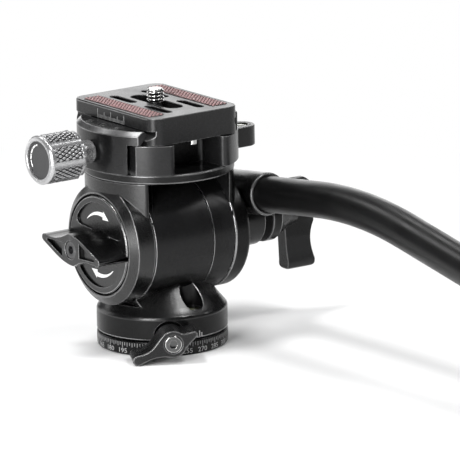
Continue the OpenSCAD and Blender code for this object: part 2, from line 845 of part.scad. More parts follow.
module top_platform() {
  color(black) difference() {
    rotate_extrude() polygon([
      [0, platform_z], [platform_r - edge, platform_z], [platform_r, platform_z + edge],
      [platform_r, platform_top - edge], [platform_r - edge, platform_top], [0, platform_top]
    ]);
    for (x = [-1, 1], y = [-1, 1])
      platform_screw_at(x, y) flat_screw_hole(platform_screw_r, platform_screw_len);
    three_times(bolt_ring) translate([0, 0, platform_z - 1]) cylinder(r = bolt_r + fit, h = platform_t + 2);
  }
}

module platform_screws() {
  color(steel) for (x = [-1, 1], y = [-1, 1])
    platform_screw_at(x, y) flat_screw(platform_screw_r, platform_screw_len);
}

// Bolts that hold the clamp on the platform
bolt_ring = 9;
bolt_r = 2;
bolt_head_r = 3.3;
bolt_head_h = 3.6;
bolt_seat = clamp_top - bolt_head_h - run_gap;

// Section of a jaw's lip, outwards from the plate, as a point list of distance and height
function lip_section(root_x, low_z) = [
  [root_x, low_z], [lip_x + lip_z - low_z, low_z], [lip_x, lip_z],
  [lip_x + jaw_top - lip_z, jaw_top], [root_x, jaw_top]
];

// Straight bar along Y with a given section in X and Z
module bar_y(half_l, section) {
  translate([0, half_l, 0]) rotate([90, 0, 0]) linear_extrude(2 * half_l) polygon(section);
}

module clamp_body() {
  wide = 2 * clamp_r;
  color(black) difference() {
    union() {
      translate([0, 0, platform_top]) linear_extrude(clamp_h) difference() {
        circle(clamp_r);
        translate([-wide - split_x, -clamp_r]) square([wide, wide]);
        for (y = [1, -1]) translate([0, y * (recess_y + clamp_r)])
          round_rect(2 * recess_half, 2 * clamp_r, 2);
        for (x = [0, 1], y = [0, 1]) mirror([x, 0]) mirror([0, y])
          rim_corner(clamp_r, recess_half, recess_round);
      }
      intersection() {
        translate([0, 0, clamp_top - 1]) cylinder(r = clamp_r, h = jaw_h + 1);
        bar_y(fixed_half_l, concat([[clamp_r, clamp_top - 1], [lip_x + lip_z - clamp_top, clamp_top - 1]],
          [for (p = lip_section(clamp_r, clamp_top)) if (p[0] < clamp_r) p], [[clamp_r, jaw_top]]));
      }
      translate([0, 0, platform_top]) linear_extrude(side_level_h) {
        translate([side_level_x, 0]) circle(side_level_tab_r);
        translate([clamp_r - 6, -side_level_tab_r]) square([side_level_x - clamp_r + 6, 2 * side_level_tab_r]);
      }
    }
    rod_x(lead_r + fit, -clamp_r, -lead_end + 1, 0, lead_z);
    for (y = [-1, 1]) rod_x(guide_r + fit, -clamp_r, -guide_end + 1, y * guide_y, lead_z);
    three_times(bolt_ring) {
      translate([0, 0, platform_top - 1]) cylinder(r = bolt_r + fit, h = clamp_h + 2);
      translate([0, 0, bolt_seat]) cylinder(r = bolt_head_r + fit, h = clamp_h);
    }
    translate([side_level_x, 0, side_level_z - level_cup_h]) cylinder(r = side_level_r + fit, h = clamp_h);
  }
}

module clamp_bolts() {
  color(steel) three_times(bolt_ring) translate([0, 0, bolt_seat])
    socket_screw(bolt_r, bolt_head_r, bolt_head_h, bolt_seat - platform_z - run_gap);
}

module side_level_cup() {
  color(steel) translate([side_level_x, 0, side_level_z - level_cup_h]) level_cup(side_level_r, level_cup_h);
}

module side_level_vial() {
  color("yellowgreen") translate([side_level_x, 0, side_level_z - level_cup_h])
    level_vial(side_level_r, level_cup_h);
}

// One half of the wing's outline: from the crown above the hub to the crown below it
function wing_half() = concat(
  curve([-1.5, wing_crown], [5, wing_crown], [wing_reach - 7.5, 2.6], [wing_reach - 0.8, -0.5]),
  arc([wing_reach - 1.1, -1.9], 1.3, 60, -75, 6),
  curve([wing_reach - 1.6, -3.2], [wing_reach - 6, -2.5], [7.5, -2.6], [1.6, -wing_crown])
);

// Raised rim round the pockets on the wing's face
wing_rim = 0.9;
wing_pocket = 1.4;
module wing_pockets() {
  for (a = [0, 180]) rotate(a) translate([0, 0, wing_out - wing_pocket])
    linear_extrude(wing_pocket + 1) polygon([
      [knob_head_r + 2, wing_crown - wing_rim - 1.6], [wing_reach - 2 * wing_rim - 1, -wing_rim - 0.3],
      [wing_reach - 2 * wing_rim - 1.4, -2 * wing_rim], [knob_head_r + 2, -2 * wing_rim - 0.3]
    ]);
}

// Crescent recesses in the knob's disc, above and below the wings
crescent_depth = 0.9;
crescent_r = knob_disc_r - 2.4;
crescent_y = wing_crown - 0.8;
crescent_round = 2;
module crescents() {
  c = [sqrt(pow(crescent_r - crescent_round, 2) - pow(crescent_y + crescent_round, 2)), crescent_y + crescent_round];
  for (a = [0, 180]) rotate(a - 5) translate([0, 0, disc_out - crescent_depth])
    linear_extrude(crescent_depth + 1) difference() {
      intersection() {
        circle(crescent_r);
        translate([-knob_disc_r, crescent_y]) square([2 * knob_disc_r, knob_disc_r]);
      }
      for (x = [0, 1]) mirror([x, 0]) corner_waste(c, crescent_round, -90, atan2(c[1], c[0]));
    }
}

module tilt_knob() {
  color(black) on_left_axis() difference() {
    union() {
      difference() {
        translate([0, 0, disc_in]) rotate_extrude() polygon([
          [0, 0], [knob_disc_r, 0], [knob_disc_r, knob_disc_t - edge],
          [knob_disc_r - edge, knob_disc_t], [0, knob_disc_t]
        ]);
        crescents();
      }
      translate([0, 0, disc_out - crescent_depth])
        linear_extrude(wing_out - disc_out + crescent_depth)
          polygon(concat(wing_half(), [for (p = wing_half()) -p]));
    }
    wing_pockets();
    translate([0, 0, wing_out - knob_head_h]) cylinder(r = knob_head_r + fit, h = knob_head_h + 1);
    translate([0, 0, disc_in - 1]) cylinder(r = lock_stud_r + fit, h = wing_out - stud_inset - disc_in + 1);
    translate([0, 0, disc_in]) cylinder(r = knob_screw_r + fit, h = wing_h);
  }
}

module tilt_knob_screw() {
  color(steel) on_left_axis() translate([0, 0, wing_out - knob_head_h])
    socket_screw(knob_screw_r, knob_head_r, knob_head_h - run_gap, knob_screw_len);
}

module tilt_lock_stud() {
  end = wing_out - stud_inset - fit;
  color(steel) difference() {
    rod_x(lock_stud_r, -end, -axle_left + stud_depth - 1);
    rod_x(knob_screw_r + fit, -end - 1, -wing_out + knob_head_h + knob_screw_len + fit);
  }
}

module moving_jaw() {
  color(black) difference() {
    union() {
      intersection() {
        translate([-jaw_out, 0, platform_top + 2 * slip]) cylinder(r = clamp_r, h = jaw_under - platform_top);
        translate([-jaw_rim, -clamp_r, platform_top]) cube([jaw_rim - jaw_x, 2 * clamp_r, 2 * clamp_h]);
      }
      intersection() {
        mirror([1, 0, 0]) bar_y(jaw_half_l, lip_section(jaw_rim, jaw_under));
        translate([-jaw_out, 0, jaw_under]) union() {
          cylinder(r = clamp_r, h = jaw_top - jaw_under - jaw_chamfer);
          translate([0, 0, jaw_top - jaw_under - jaw_chamfer])
            cylinder(r1 = clamp_r, r2 = clamp_r - jaw_chamfer, h = jaw_chamfer);
        }
      }
    }
    rod_x(lead_r + 2 * fit, -jaw_rim - 1, 0, 0, lead_z);
    for (y = [-1, 1]) rod_x(guide_r + fit, -jaw_x - 1.3, 0, y * guide_y, lead_z);
    for (y = [-1 : 1]) jaw_screw_at(y) flat_screw_hole(jaw_screw_r, jaw_screw_len);
  }
}

// Small screws in the jaw's top face
jaw_screw_r = 0.75;
jaw_screw_len = 4;
jaw_screw_pitch = 8.2;
module jaw_screw_at(y) {
  translate([-jaw_x + 0.7, y * jaw_screw_pitch, jaw_top - fit]) children();
}

module jaw_screws() {
  color(steel) for (y = [-1 : 1]) jaw_screw_at(y) flat_screw(jaw_screw_r, jaw_screw_len);
}

module guide_pins() {
  color(steel) for (y = [-1, 1]) rod_x(guide_r, -jaw_x - 1.2, -guide_end, y * guide_y, lead_z);
}

module clamp_knob() {
  flute_r = 5;
  color("silver") translate([0, 0, lead_z]) rotate([0, -90, 0]) difference() {
    rotate_extrude() polygon([
      [0, jaw_rim + slip], [knob_neck_r - 2 * edge, jaw_rim + slip], [knob_neck_r, jaw_rim + slip + 2 * edge],
      [knob_neck_r, knob_face], [grip_knob_r - edge, knob_face],
      [grip_knob_r, knob_face + edge], [grip_knob_r, knob_end - 2 * edge], [grip_knob_r - 2 * edge, knob_end],
      [knob_cap_r + fit, knob_end], [knob_cap_r + fit, knob_end - cap_bed], [0, knob_end - cap_bed]
    ]);
    for (i = [0 : flute_count - 1]) rotate(360 * (i + 0.5) / flute_count)
      translate([grip_knob_r + flute_r - flute_depth, 0, knob_face - 1])
        cylinder(r = flute_r, h = grip_knob_len - 0.6);
    cylinder(r = lead_r + fit, h = knob_face + lead_in);
  }
}

module clamp_knob_cap() {
  color(dark) rod_x(knob_cap_r, -knob_end + cap_sink, -knob_end + cap_bed - fit, 0, lead_z);
}

module clamp_screw() {
  color(steel) rod_x(lead_r, -knob_face - lead_in + fit, -lead_end, 0, lead_z);
}

// Section of the plate across its width
module plate_section() {
  half = [
    [plate_w / 2, plate_z], [plate_w / 2, foot_top], [plate_w / 2 - dovetail, foot_top + dovetail],
    [plate_w / 2 - dovetail, slab_z], [plate_w / 2, slab_z],
    [plate_w / 2, plate_top - edge], [plate_w / 2 - edge, plate_top]
  ];
  polygon(concat(half, [for (i = [len(half) - 1 : -1 : 0]) [-half[i][0], half[i][1]]]));
}

module pad_outline(play) {
  round_rect(pad_w + 2 * play, pad_l + 2 * play, pad_round + play);
}

module release_plate() {
  color([0.2, 0.2, 0.21]) translate([0, plate_y, 0]) difference() {
    intersection() {
      translate([0, plate_l / 2, 0]) rotate([90, 0, 0]) linear_extrude(plate_l) plate_section();
      translate([0, 0, plate_z]) linear_extrude(plate_t) round_rect(plate_w, plate_l, plate_corner);
    }
    for (x = [-1, 1]) translate([x * pad_x, 0, plate_top - pad_bed]) linear_extrude(pad_bed + 1) pad_outline(fit);
    translate([0, -slot_shift, plate_z - 1]) linear_extrude(plate_t + 2) {
      for (x = [-1, 1], y = [-1, 1]) translate([x * slot_x, y * slot_pitch / 2]) slot(slot_w, slot_l);
      slot(mid_slot_w, mid_slot_l);
    }
    translate([0, -slot_shift, plate_z - 1]) linear_extrude(head_bed + 1)
      round_rect(2 * (camera_head_r + run_gap), mid_slot_l + 2 * camera_head_r - mid_slot_w, 2);
    for (y = [-1, 1]) translate([0, y * stop_y, plate_z - 1]) cylinder(r = stop_r + fit, h = 1 + stop_in + fit);
  }
}

module plate_pads() {
  color(rubber) translate([0, plate_y, plate_top - pad_bed]) for (x = [-1, 1])
    translate([x * pad_x, 0, 0]) linear_extrude(pad_bed + pad_proud) pad_outline(0);
}

module stop_screws() {
  color(steel) for (y = [-1, 1]) translate([0, plate_y + y * stop_y, plate_z])
    translate([0, 0, -stop_drop]) cylinder(r = stop_r, h = stop_drop + stop_in);
}

module camera_screw() {
  z = plate_z + head_bed - head_t - run_gap;
  color("silver") translate([0, plate_y, z]) difference() {
    rotate_extrude() polygon([
      [0, 0], [camera_head_r - edge, 0], [camera_head_r, edge], [camera_head_r, head_t],
      [camera_neck_r, head_t], [camera_neck_r, plate_top + slip - z], [camera_r, plate_top + slip - z],
      [camera_r, plate_top + camera_proud - z - 2 * edge],
      [camera_r - 2 * edge, plate_top + camera_proud - z], [0, plate_top + camera_proud - z]
    ]);
    translate([-camera_head_r, -0.7, -1]) cube([2 * camera_head_r, 1.4, 2.2]);
  }
}

module handle_hub() {
  color(black) difference() {
    union() {
      turned_x([
        [stud_r + fit, hub_in], [hub_r - edge, hub_in], [hub_r, hub_in + edge],
        [hub_r, hub_face - edge], [hub_r - edge, hub_face], [stud_r + fit, hub_face]
      ]);
      difference() {
        on_tube_line() rotate_extrude() polygon([
          [0, -collar_back], [handle_collar_r - 2, -collar_back], [handle_collar_r, -collar_back + 2],
          [handle_collar_r, collar_front - edge], [handle_collar_r - edge, collar_front], [0, collar_front]
        ]);
        rod_x(handle_knob_r + 0.6, hub_face, blade_end);
      }
    }
    rod_x(stud_r + fit, hub_in - 1, hub_face + 1);
    on_tube_line() translate([0, 0, tube_seat - fit]) cylinder(r = tube_r + fit, h = collar_front);
    set_screw_at() cylinder(r = set_screw_r + fit, h = 2 * collar_wall);
  }
}

// Grub screw through the collar's underside, in front of the hub
set_screw_r = 1.5;
module set_screw_at() {
  on_tube_line() translate([0, -tube_r - fit, (hub_r + collar_front) / 2]) rotate([90, 0, 0]) children();
}

module handle_set_screw() {
  color(steel) set_screw_at() difference() {
    cylinder(r = set_screw_r, h = collar_wall - fit);
    translate([0, 0, collar_wall / 3]) cylinder(r = 0.8, h = 2, $fn = 6);
  }
}

// Section of the tube, with its wall thinned a little on both sides where it is let into the bend
let_in = 1;
module tube_section(thin = 0) {
  difference() {
    circle(tube_r - thin);
    circle(tube_r - tube_wall + thin);
  }
}

// The tube lies in the plane of its bend, which turns about the frame's z axis
module handle_tube() {
  color(dark) on_tube_line() translate([0, -bend_r, tube_run]) rotate([90, 0, 90]) {
    translate([bend_r, let_in, 0]) rotate([90, 0, 0])
      linear_extrude(tube_run - tube_seat + let_in) tube_section(0.01);
    rotate_extrude(angle = bend_angle, $fn = 180) translate([bend_r, 0]) tube_section();
    rotate(bend_angle) translate([bend_r, -let_in, 0]) rotate([-90, 0, 0])
      linear_extrude(tube_end + let_in) tube_section(0.01);
  }
}

module handle_grip() {
  rib = 0.5;
  rib_pitch = 6;
  rib_count = floor((grip_len - 8) / rib_pitch);
  color("dimgray") on_tube_line() after_bend() translate([0, 0, tube_end - grip_len]) difference() {
    rotate_extrude() polygon([
      [tube_r + fit, 0], [grip_r - 1, 0], [grip_r, 1], [grip_r, grip_len - edge], [grip_r - edge, grip_len],
      [tube_r + fit, grip_len]
    ]);
    for (i = [0 : rib_count]) translate([0, 0, 5 + i * rib_pitch]) ring(grip_r + 1, grip_r - rib, 2);
  }
}

module handle_end_cap() {
  color(dark) on_tube_line() after_bend() translate([0, 0, tube_end]) rotate_extrude() polygon(concat(
    [[0, -end_cap_len], [tube_r - tube_wall - fit, -end_cap_len], [tube_r - tube_wall - fit, fit], [grip_r, fit]],
    arc([grip_r - 2.5, end_cap_len - 2.5], 2.5, 0, 90),
    [[0, end_cap_len]]
  ));
}

module handle_spacer() {
  color(dark) turned_x([
    [stud_r + fit, spacer_x], [spacer_r, spacer_x], [spacer_r, spacer_x + spacer_len], [stud_r + fit, spacer_x + spacer_len]
  ]);
}

module handle_washer() {
  color("peru") turned_x([
    [stud_r + fit, cheek_out + fit], [washer_r, cheek_out + fit],
    [washer_r, hub_in - fit], [stud_r + fit, hub_in - fit]
  ]);
}

// Outline of the handle knob's blade along the axis, waisted on its outer edge
module blade_outline() {
  waist = 2.1;
  polygon(concat(
    curve([blade_x, 3], [blade_x + 0.5, 8], [blade_x + 2, wing_short], [blade_x + 5, wing_short]),
    [[blade_end - 3, wing_short]],
    curve([blade_end - 1.6, wing_short - 1.4], [blade_end - 0.6, 5], [blade_end, -1], [blade_end, -4]),
    curve([blade_end, -5], [blade_end - waist, -9], [blade_end - waist, -13], [blade_end, -wing_long + 3]),
    arc([blade_end - blade_round, -wing_long + blade_round], blade_round, 0, -90),
    arc([blade_x + blade_round, -wing_long + blade_round], blade_round, -90, -180),
    curve([blade_x, -wing_long + 3], [blade_x - 0.6, -14], [blade_x - 0.6, -10], [blade_x - 1, -hub_blend])
  ));
}
hub_blend = 6;
blade_round = 1.4;

// Section of the blade along its length: hollowed faces that swell to a round end
module blade_section() {
  end = (wing_t + wing_flare) / 2;
  end_r = 2.2;
  top_r = 1.6;
  half = concat(
    arc([end - end_r, -wing_long + end_r], end_r, -90, 0),
    curve([end, -wing_long + end_r + 0.4], [wing_t / 2, -wing_long + 7], [wing_t / 2, -11], [wing_t / 2, -hub_blend]),
    arc([wing_t / 2 - top_r, wing_short - top_r], top_r, 0, 90)
  );
  polygon(concat(half, [for (i = [len(half) - 1 : -1 : 0]) [-half[i][0], half[i][1]]]));
}

module handle_knob() {
  color(black) difference() {
    union() {
      turned_x([
        [0, handle_knob_x], [handle_knob_r - edge, handle_knob_x], [handle_knob_r, handle_knob_x + edge],
        [handle_knob_r, handle_knob_x + handle_knob_t - edge], [handle_knob_r - edge, handle_knob_x + handle_knob_t],
        [hub_blend, blade_x], [hub_blend - 1, blade_x + 4], [0, blade_x + 4]
      ]);
      translate([0, 0, tilt_z]) intersection() {
        translate([0, wing_t, 0]) rotate([90, 0, 0]) linear_extrude(2 * wing_t) blade_outline();
        translate([handle_knob_x, 0, 0]) rotate([90, 0, 90]) linear_extrude(blade_end) blade_section();
      }
    }
    rod_x(stud_r + fit, handle_knob_x - 1, stud_end + run_gap);
  }
}

base_plate();
tripod_bush();
pan_spindle();
base_screws();
pan_housing();
drum_cap();
cap_screws();
pan_bush();
thrust_washers();
retaining_ring();
brake_shoe();
base_level_cup();
base_level_vial();
tilt_bushes();
shaft_seals();
damping_stators();
pan_lever();
pan_lock_screw();
left_cheek();
right_cheek();
tilt_axle();
damping_rotors();
top_platform();
platform_screws();
clamp_body();
clamp_bolts();
side_level_cup();
side_level_vial();
tilt_knob();
tilt_knob_screw();
tilt_lock_stud();
moving_jaw();
jaw_screws();
guide_pins();
clamp_knob();
clamp_knob_cap();
clamp_screw();
release_plate();
plate_pads();
stop_screws();
camera_screw();
handle_hub();
handle_tube();
handle_spacer();
handle_washer();
handle_set_screw();
handle_grip();
handle_end_cap();
handle_knob();
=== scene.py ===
"""Looks of a small two-axis fluid video head with a dovetail clamp and a pan handle.

Lengths in the piece makers are in millimetres and are turned into metres where a mesh is made.
"""
import json
import math

import bmesh
import bpy
from mathutils import Matrix, Vector


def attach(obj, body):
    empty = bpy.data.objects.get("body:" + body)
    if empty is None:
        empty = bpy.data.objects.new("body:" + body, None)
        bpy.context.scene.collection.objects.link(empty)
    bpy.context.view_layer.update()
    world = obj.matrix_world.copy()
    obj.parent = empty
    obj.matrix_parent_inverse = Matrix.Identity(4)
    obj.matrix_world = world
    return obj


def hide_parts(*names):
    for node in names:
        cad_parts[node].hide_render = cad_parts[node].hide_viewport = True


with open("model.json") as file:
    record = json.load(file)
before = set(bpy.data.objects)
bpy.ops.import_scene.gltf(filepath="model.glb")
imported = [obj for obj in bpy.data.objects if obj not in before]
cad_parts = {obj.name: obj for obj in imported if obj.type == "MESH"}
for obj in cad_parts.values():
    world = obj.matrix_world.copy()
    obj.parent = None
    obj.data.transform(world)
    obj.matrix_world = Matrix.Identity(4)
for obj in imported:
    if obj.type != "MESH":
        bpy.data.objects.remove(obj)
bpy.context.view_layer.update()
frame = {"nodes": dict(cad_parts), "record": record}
nodes = frame["nodes"]
MM = 0.001

# Places that the marks and the fine pieces share with the solids, in mm
BASE_R = 23.7                                     # rim with the degree scale
TILT_Z = 40.0                                     # height of the tilt axis
CRESCENT_X = -26.6                                # floor of the tilt knob's crescents
LEAD_Z = 74.9                                     # height of the clamp knob's axis
KNOB_R, KNOB_NECK_R = 8.9, 4.2
KNOB_IN, KNOB_FACE, KNOB_END = 29.6, 37.3, 52.7   # distances to the left of the pan axis
KNOB_CAP_R, KNOB_BED, KNOB_CAP_SINK = 6.9, 1.8, 0.8
PLATE_Y, PLATE_TOP, PLATE_SIDE = 1.4, 88.7, 19.3
PAD_X, PAD_W, PAD_L, PAD_ROUND = 14.0, 7.4, 41.6, 2.4
PAD_LOW, PAD_TOP = 87.95, 89.05


# ---------------------------------------------------------------- materials
NOISE_ROUGHNESS = 0.55
PATCHES = 90.0                          # patches of tone in a finish, per metre
GLOSS_PATCH, GLOSS_GRAIN = 0.05, 0.04   # how far roughness wanders with the patches and with the grain
GRAIN_DEPTH = 0.00002                   # in metres
EDGE_FROM, EDGE_FULL = 0.53, 0.62       # pointiness where a paler edge, worn and with a painted highlight, begins and where it is full
MIX_A, MIX_B, MIX_OUT = 6, 7, 2         # colour sockets of a mix node

RUBBER_PATCHES, RUBBER_DARK, RUBBER_PALE = 220.0, 0.82, 1.15
RUBBER_GLOSS, RUBBER_BUMP, RUBBER_DEPTH = 0.08, 0.25, 0.00005
STREAKS, STREAK_DARK = 500.0, 0.75      # deeper tone in the levels' fluid
STREAK_GLOSS = (0.06, 0.14)


def tree_of(name):
    """A new material with its node tree, its shader and the piece's own coordinates."""
    mat = bpy.data.materials.new(name)
    mat.use_nodes = True
    tree = mat.node_tree
    shader = tree.nodes["Principled BSDF"]
    coords = tree.nodes.new("ShaderNodeTexCoord")
    return mat, tree, shader, coords.outputs["Object"]


def noise(tree, coords, scale, detail):
    """Noise in the piece's own coordinates; scale counts features per metre."""
    tex = tree.nodes.new("ShaderNodeTexNoise")
    tex.inputs["Scale"].default_value = scale
    tex.inputs["Detail"].default_value = detail
    tex.inputs["Roughness"].default_value = NOISE_ROUGHNESS
    tree.links.new(coords, tex.inputs["Vector"])
    return tex.outputs["Fac"]


def spread(tree, value, low, high, start=0.3, stop=0.7):
    """Maps a noise value onto a range of plain numbers."""
    node = tree.nodes.new("ShaderNodeMapRange")
    node.inputs["From Min"].default_value = start
    node.inputs["From Max"].default_value = stop
    node.inputs["To Min"].default_value = low
    node.inputs["To Max"].default_value = high
    tree.links.new(value, node.inputs["Value"])
    return node.outputs["Result"]


def combined(tree, operation, a, b):
    """One value out of two, such as their sum."""
    node = tree.nodes.new("ShaderNodeMath")
    node.operation = operation
    tree.links.new(a, node.inputs[0])
    tree.links.new(b, node.inputs[1])
    return node.outputs[0]


def mixed(tree, value, a, b):
    """Goes from one colour to another with a value; the first may be the output of a node."""
    node = tree.nodes.new("ShaderNodeMix")
    node.data_type = "RGBA"
    if isinstance(a, tuple):
        node.inputs[MIX_A].default_value = (*a, 1)
    else:
        tree.links.new(a, node.inputs[MIX_A])
    node.inputs[MIX_B].default_value = (*b, 1)
    tree.links.new(value, node.inputs[0])
    return node.outputs[MIX_OUT]


def shaded(colour, factor):
    """The same colour, darker or paler."""
    return tuple(min(1.0, c * factor) for c in colour)


def bump(tree, shader, height, strength, distance):
    """Fine relief from a height value."""
    node = tree.nodes.new("ShaderNodeBump")
    node.inputs["Strength"].default_value = strength
    node.inputs["Distance"].default_value = distance
    tree.links.new(height, node.inputs["Height"])
    tree.links.new(node.outputs["Normal"], shader.inputs["Normal"])


def finish(name, colour, rough, metallic=0.0, level=0.5, shift=0.12, grain=7000.0, grain_bump=0.08, edge=None):
    """A finish with patches of tone, uneven gloss, fine grain and paler edges, worn and with a painted
    highlight.
    """
    mat, tree, shader, coords = tree_of(name)
    shader.inputs["Metallic"].default_value = metallic
    shader.inputs["Specular IOR Level"].default_value = level
    cloud = noise(tree, coords, PATCHES, 4.0)
    fine = noise(tree, coords, grain, 2.0)
    tone = mixed(tree, spread(tree, cloud, 0, 1), shaded(colour, 1 - shift), shaded(colour, 1 + shift))
    # Convex edges turn paler: wear and a painted highlight along them
    if edge:
        geometry = tree.nodes.new("ShaderNodeNewGeometry")
        worn_glint = spread(tree, geometry.outputs["Pointiness"], 0.0, 1.0, EDGE_FROM, EDGE_FULL)
        tone = mixed(tree, worn_glint, tone, edge)
    tree.links.new(tone, shader.inputs["Base Color"])
    gloss = combined(tree, "ADD", spread(tree, cloud, -GLOSS_PATCH, GLOSS_PATCH),
                     spread(tree, fine, rough - GLOSS_GRAIN, rough + GLOSS_GRAIN))
    tree.links.new(gloss, shader.inputs["Roughness"])
    bump(tree, shader, fine, grain_bump, GRAIN_DEPTH)
    return mat


def paint(name, colour, shift):
    """Matt print of the marks."""
    return finish(name, colour, 0.5, level=0.4, shift=shift, grain=9000.0, grain_bump=0.12)


def rubber(name, colour, rough, cells=9000.0):
    """Matt rubber: mottled tone and a fine cast grain."""
    mat, tree, shader, coords = tree_of(name)
    shader.inputs["Specular IOR Level"].default_value = 0.35
    cell = tree.nodes.new("ShaderNodeTexVoronoi")
    cell.inputs["Scale"].default_value = cells
    tree.links.new(coords, cell.inputs["Vector"])
    cloud = noise(tree, coords, RUBBER_PATCHES, 4.0)
    tone = mixed(tree, spread(tree, cloud, 0, 1), shaded(colour, RUBBER_DARK), shaded(colour, RUBBER_PALE))
    tree.links.new(tone, shader.inputs["Base Color"])
    tree.links.new(spread(tree, cloud, rough - RUBBER_GLOSS, rough + RUBBER_GLOSS), shader.inputs["Roughness"])
    bump(tree, shader, cell.outputs["Distance"], RUBBER_BUMP, RUBBER_DEPTH)
    return mat


def fluid(name, colour):
    """Clear tinted plastic of a level: deeper tone in streaks, glossy skin."""
    mat, tree, shader, coords = tree_of(name)
    shader.inputs["Specular IOR Level"].default_value = 0.6
    shader.inputs["Coat Weight"].default_value = 1.0
    shader.inputs["Coat Roughness"].default_value = 0.04
    shader.inputs["Transmission Weight"].default_value = 0.25
    cloud = noise(tree, coords, STREAKS, 3.0)
    tone = mixed(tree, spread(tree, cloud, 0, 1), shaded(colour, STREAK_DARK), colour)
    tree.links.new(tone, shader.inputs["Base Color"])
    tree.links.new(spread(tree, cloud, *STREAK_GLOSS), shader.inputs["Roughness"])
    return mat


# EDGE is the paler colour of convex edges: wear and a painted highlight along them
JET, EDGE = (0.002, 0.002, 0.0021), (0.03, 0.03, 0.031)

BLACK = finish("black_anodised", JET, 0.27, level=0.32, edge=EDGE)
DRUM = finish("black_cast", JET, 0.28, level=0.22, edge=EDGE)
# On the release plate this paler black goes only on upward faces, as a painted lit top
PLATE = finish("plate_anodised", (0.015, 0.015, 0.0154), 0.3, level=0.36, edge=(0.06, 0.06, 0.06))
TUBE = finish("tube_anodised", JET, 0.36, level=0.4, grain=5000.0)
SATIN = finish("black_satin", (0.003, 0.003, 0.0031), 0.28, level=0.6, edge=EDGE)
DEEP = finish("black_deep", JET, 0.27, level=0.2, edge=EDGE)
# Paler, glossier black for the jaw's chamfer: a painted highlight
CHAMFER_HIGHLIGHT = finish("chamfer_painted_highlight", (0.05, 0.05, 0.051), 0.3, metallic=0.3, level=1.0)
MATT = finish("black_matt", (0.0015, 0.0015, 0.0015), 0.6, level=0.08)
# Paler finishes of the broken edges: wear and a painted highlight along them
RUBBED_GLINT = finish("rubbed_edge_glint", (0.14, 0.14, 0.141), 0.26, metallic=0.6, level=0.6, shift=0.3)
WORN_GLINT = finish("worn_edge_glint", (0.34, 0.34, 0.342), 0.26, metallic=0.85, level=0.6, shift=0.3)
PLASTIC = finish("cap_plastic", (0.035, 0.035, 0.036), 0.45, level=0.4, grain=9000.0, grain_bump=0.15)
SILVER = finish("silver_aluminium", (0.42, 0.42, 0.425), 0.26, metallic=0.75, shift=0.06)
# Near-black for the deep parts of the knurl and the thread: painted shade in the grooves
GROOVE_SHADE = finish("knurl_groove_shade", (0.006, 0.006, 0.006), 0.5, level=0.2, shift=0.2)
HEAD = finish("brushed_head", (0.14, 0.14, 0.14), 0.34, metallic=1.0, shift=0.2)
BRIGHT = finish("bright_steel", (0.63, 0.63, 0.62), 0.2, metallic=1.0, shift=0.06)
SCREW = finish("black_screw_steel", (0.03, 0.03, 0.032), 0.3, metallic=0.4, level=0.6, edge=(0.12, 0.12, 0.12))
BEARING = finish("bearing_steel", (0.5, 0.5, 0.5), 0.25, metallic=1.0, shift=0.08)
BRASS = finish("brass", (0.62, 0.43, 0.17), 0.28, metallic=1.0, shift=0.1)
NYLON = finish("bearing_plastic", (0.62, 0.6, 0.54), 0.5, level=0.4, grain_bump=0.1)
SEAL = rubber("seal_rubber", (0.02, 0.02, 0.02), 0.6)
PADS = rubber("pad_rubber", (0.36, 0.205, 0.205), 0.5)
# Near-black on the pads' floor between the diamonds and on their edges: painted shade
PAD_GROOVE_SHADE = rubber("pad_groove_shade", (0.02, 0.01, 0.01), 0.6)
GRIP = rubber("grip_rubber", (0.02, 0.02, 0.021), 0.62, cells=6000.0)
VIAL = fluid("level_fluid", (0.12, 0.13, 0.045))
BUBBLE = fluid("level_bubble", (0.3, 0.32, 0.2))
PAINT = paint("white_paint", (0.9, 0.9, 0.89), 0.04)
SCALE_PAINT = paint("scale_paint", (0.4, 0.4, 0.4), 0.08)
GREY_PAINT = paint("grey_paint", (0.25, 0.25, 0.25), 0.08)
INK = finish("black_ink", (0.01, 0.01, 0.01), 0.45, level=0.4, grain_bump=0.1)

SLOTS = {"black_metal": BLACK, "drum_metal": DRUM, "plate_metal": PLATE, "tube_metal": TUBE,
         "silver_metal": SILVER, "bright_steel": BRIGHT, "screw_steel": SCREW, "bearing_steel": BEARING,
         "brass": BRASS, "bearing_plastic": NYLON, "seal_rubber": SEAL, "pad_rubber": PADS,
         "grip_rubber": GRIP, "level_fluid": VIAL, "cap_plastic": PLASTIC}

slot_of = {entry["node"]: entry["material_slot"] for entry in frame["record"]["subparts"]}
for name, node in nodes.items():
    node.data.materials.clear()
    node.data.materials.append(SLOTS[slot_of[name]])
nodes["pan_lock_screw"].data.materials[0] = HEAD
nodes["handle_spacer"].data.materials[0] = MATT
nodes["side_level_cup"].data.materials[0] = HEAD


# ---------------------------------------------------------------- mesh helpers
WELD = 2e-6             # points closer than this, in metres, become one
FLAT_ANGLE = 0.6        # degrees between faces that count as one
SHARP_ANGLE = 32.0      # degrees from which an edge is broken
STRAY = 0.6             # share of a broken edge's width that a point may lie off the solid
CLOSED_R = 0.001        # radius that stands for 0 where a turned form closes
AROUND = 48             # points around a turned form
MARK_SINK = 0.05        # how deep a printed mark stands in its face


def mesh_of(name, verts, faces):
    """A mesh in metres from points in millimetres."""
    mesh = bpy.data.meshes.new(name)
    mesh.from_pydata([Vector(v) * MM for v in verts], [], faces)
    mesh.update()
    return mesh


def add(name, mesh, body, material, sharp=35.0):
    """Links a mesh as a piece that rides a body and takes its finish from a slot."""
    mesh.materials.clear()
    mesh.materials.append(material)
    mesh.polygons.foreach_set("use_smooth", [True] * len(mesh.polygons))
    mesh.set_sharp_from_angle(angle=math.radians(sharp))
    obj = bpy.data.objects.new(name, mesh)
    bpy.context.scene.collection.objects.link(obj)
    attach(obj, body)
    return obj


def outward(mesh):
    """Turns all faces of closed forms outwards."""
    bm = bmesh.new()
    bm.from_mesh(mesh)
    bmesh.ops.recalc_face_normals(bm, faces=bm.faces)
    bm.to_mesh(mesh)
    bm.free()
    return mesh


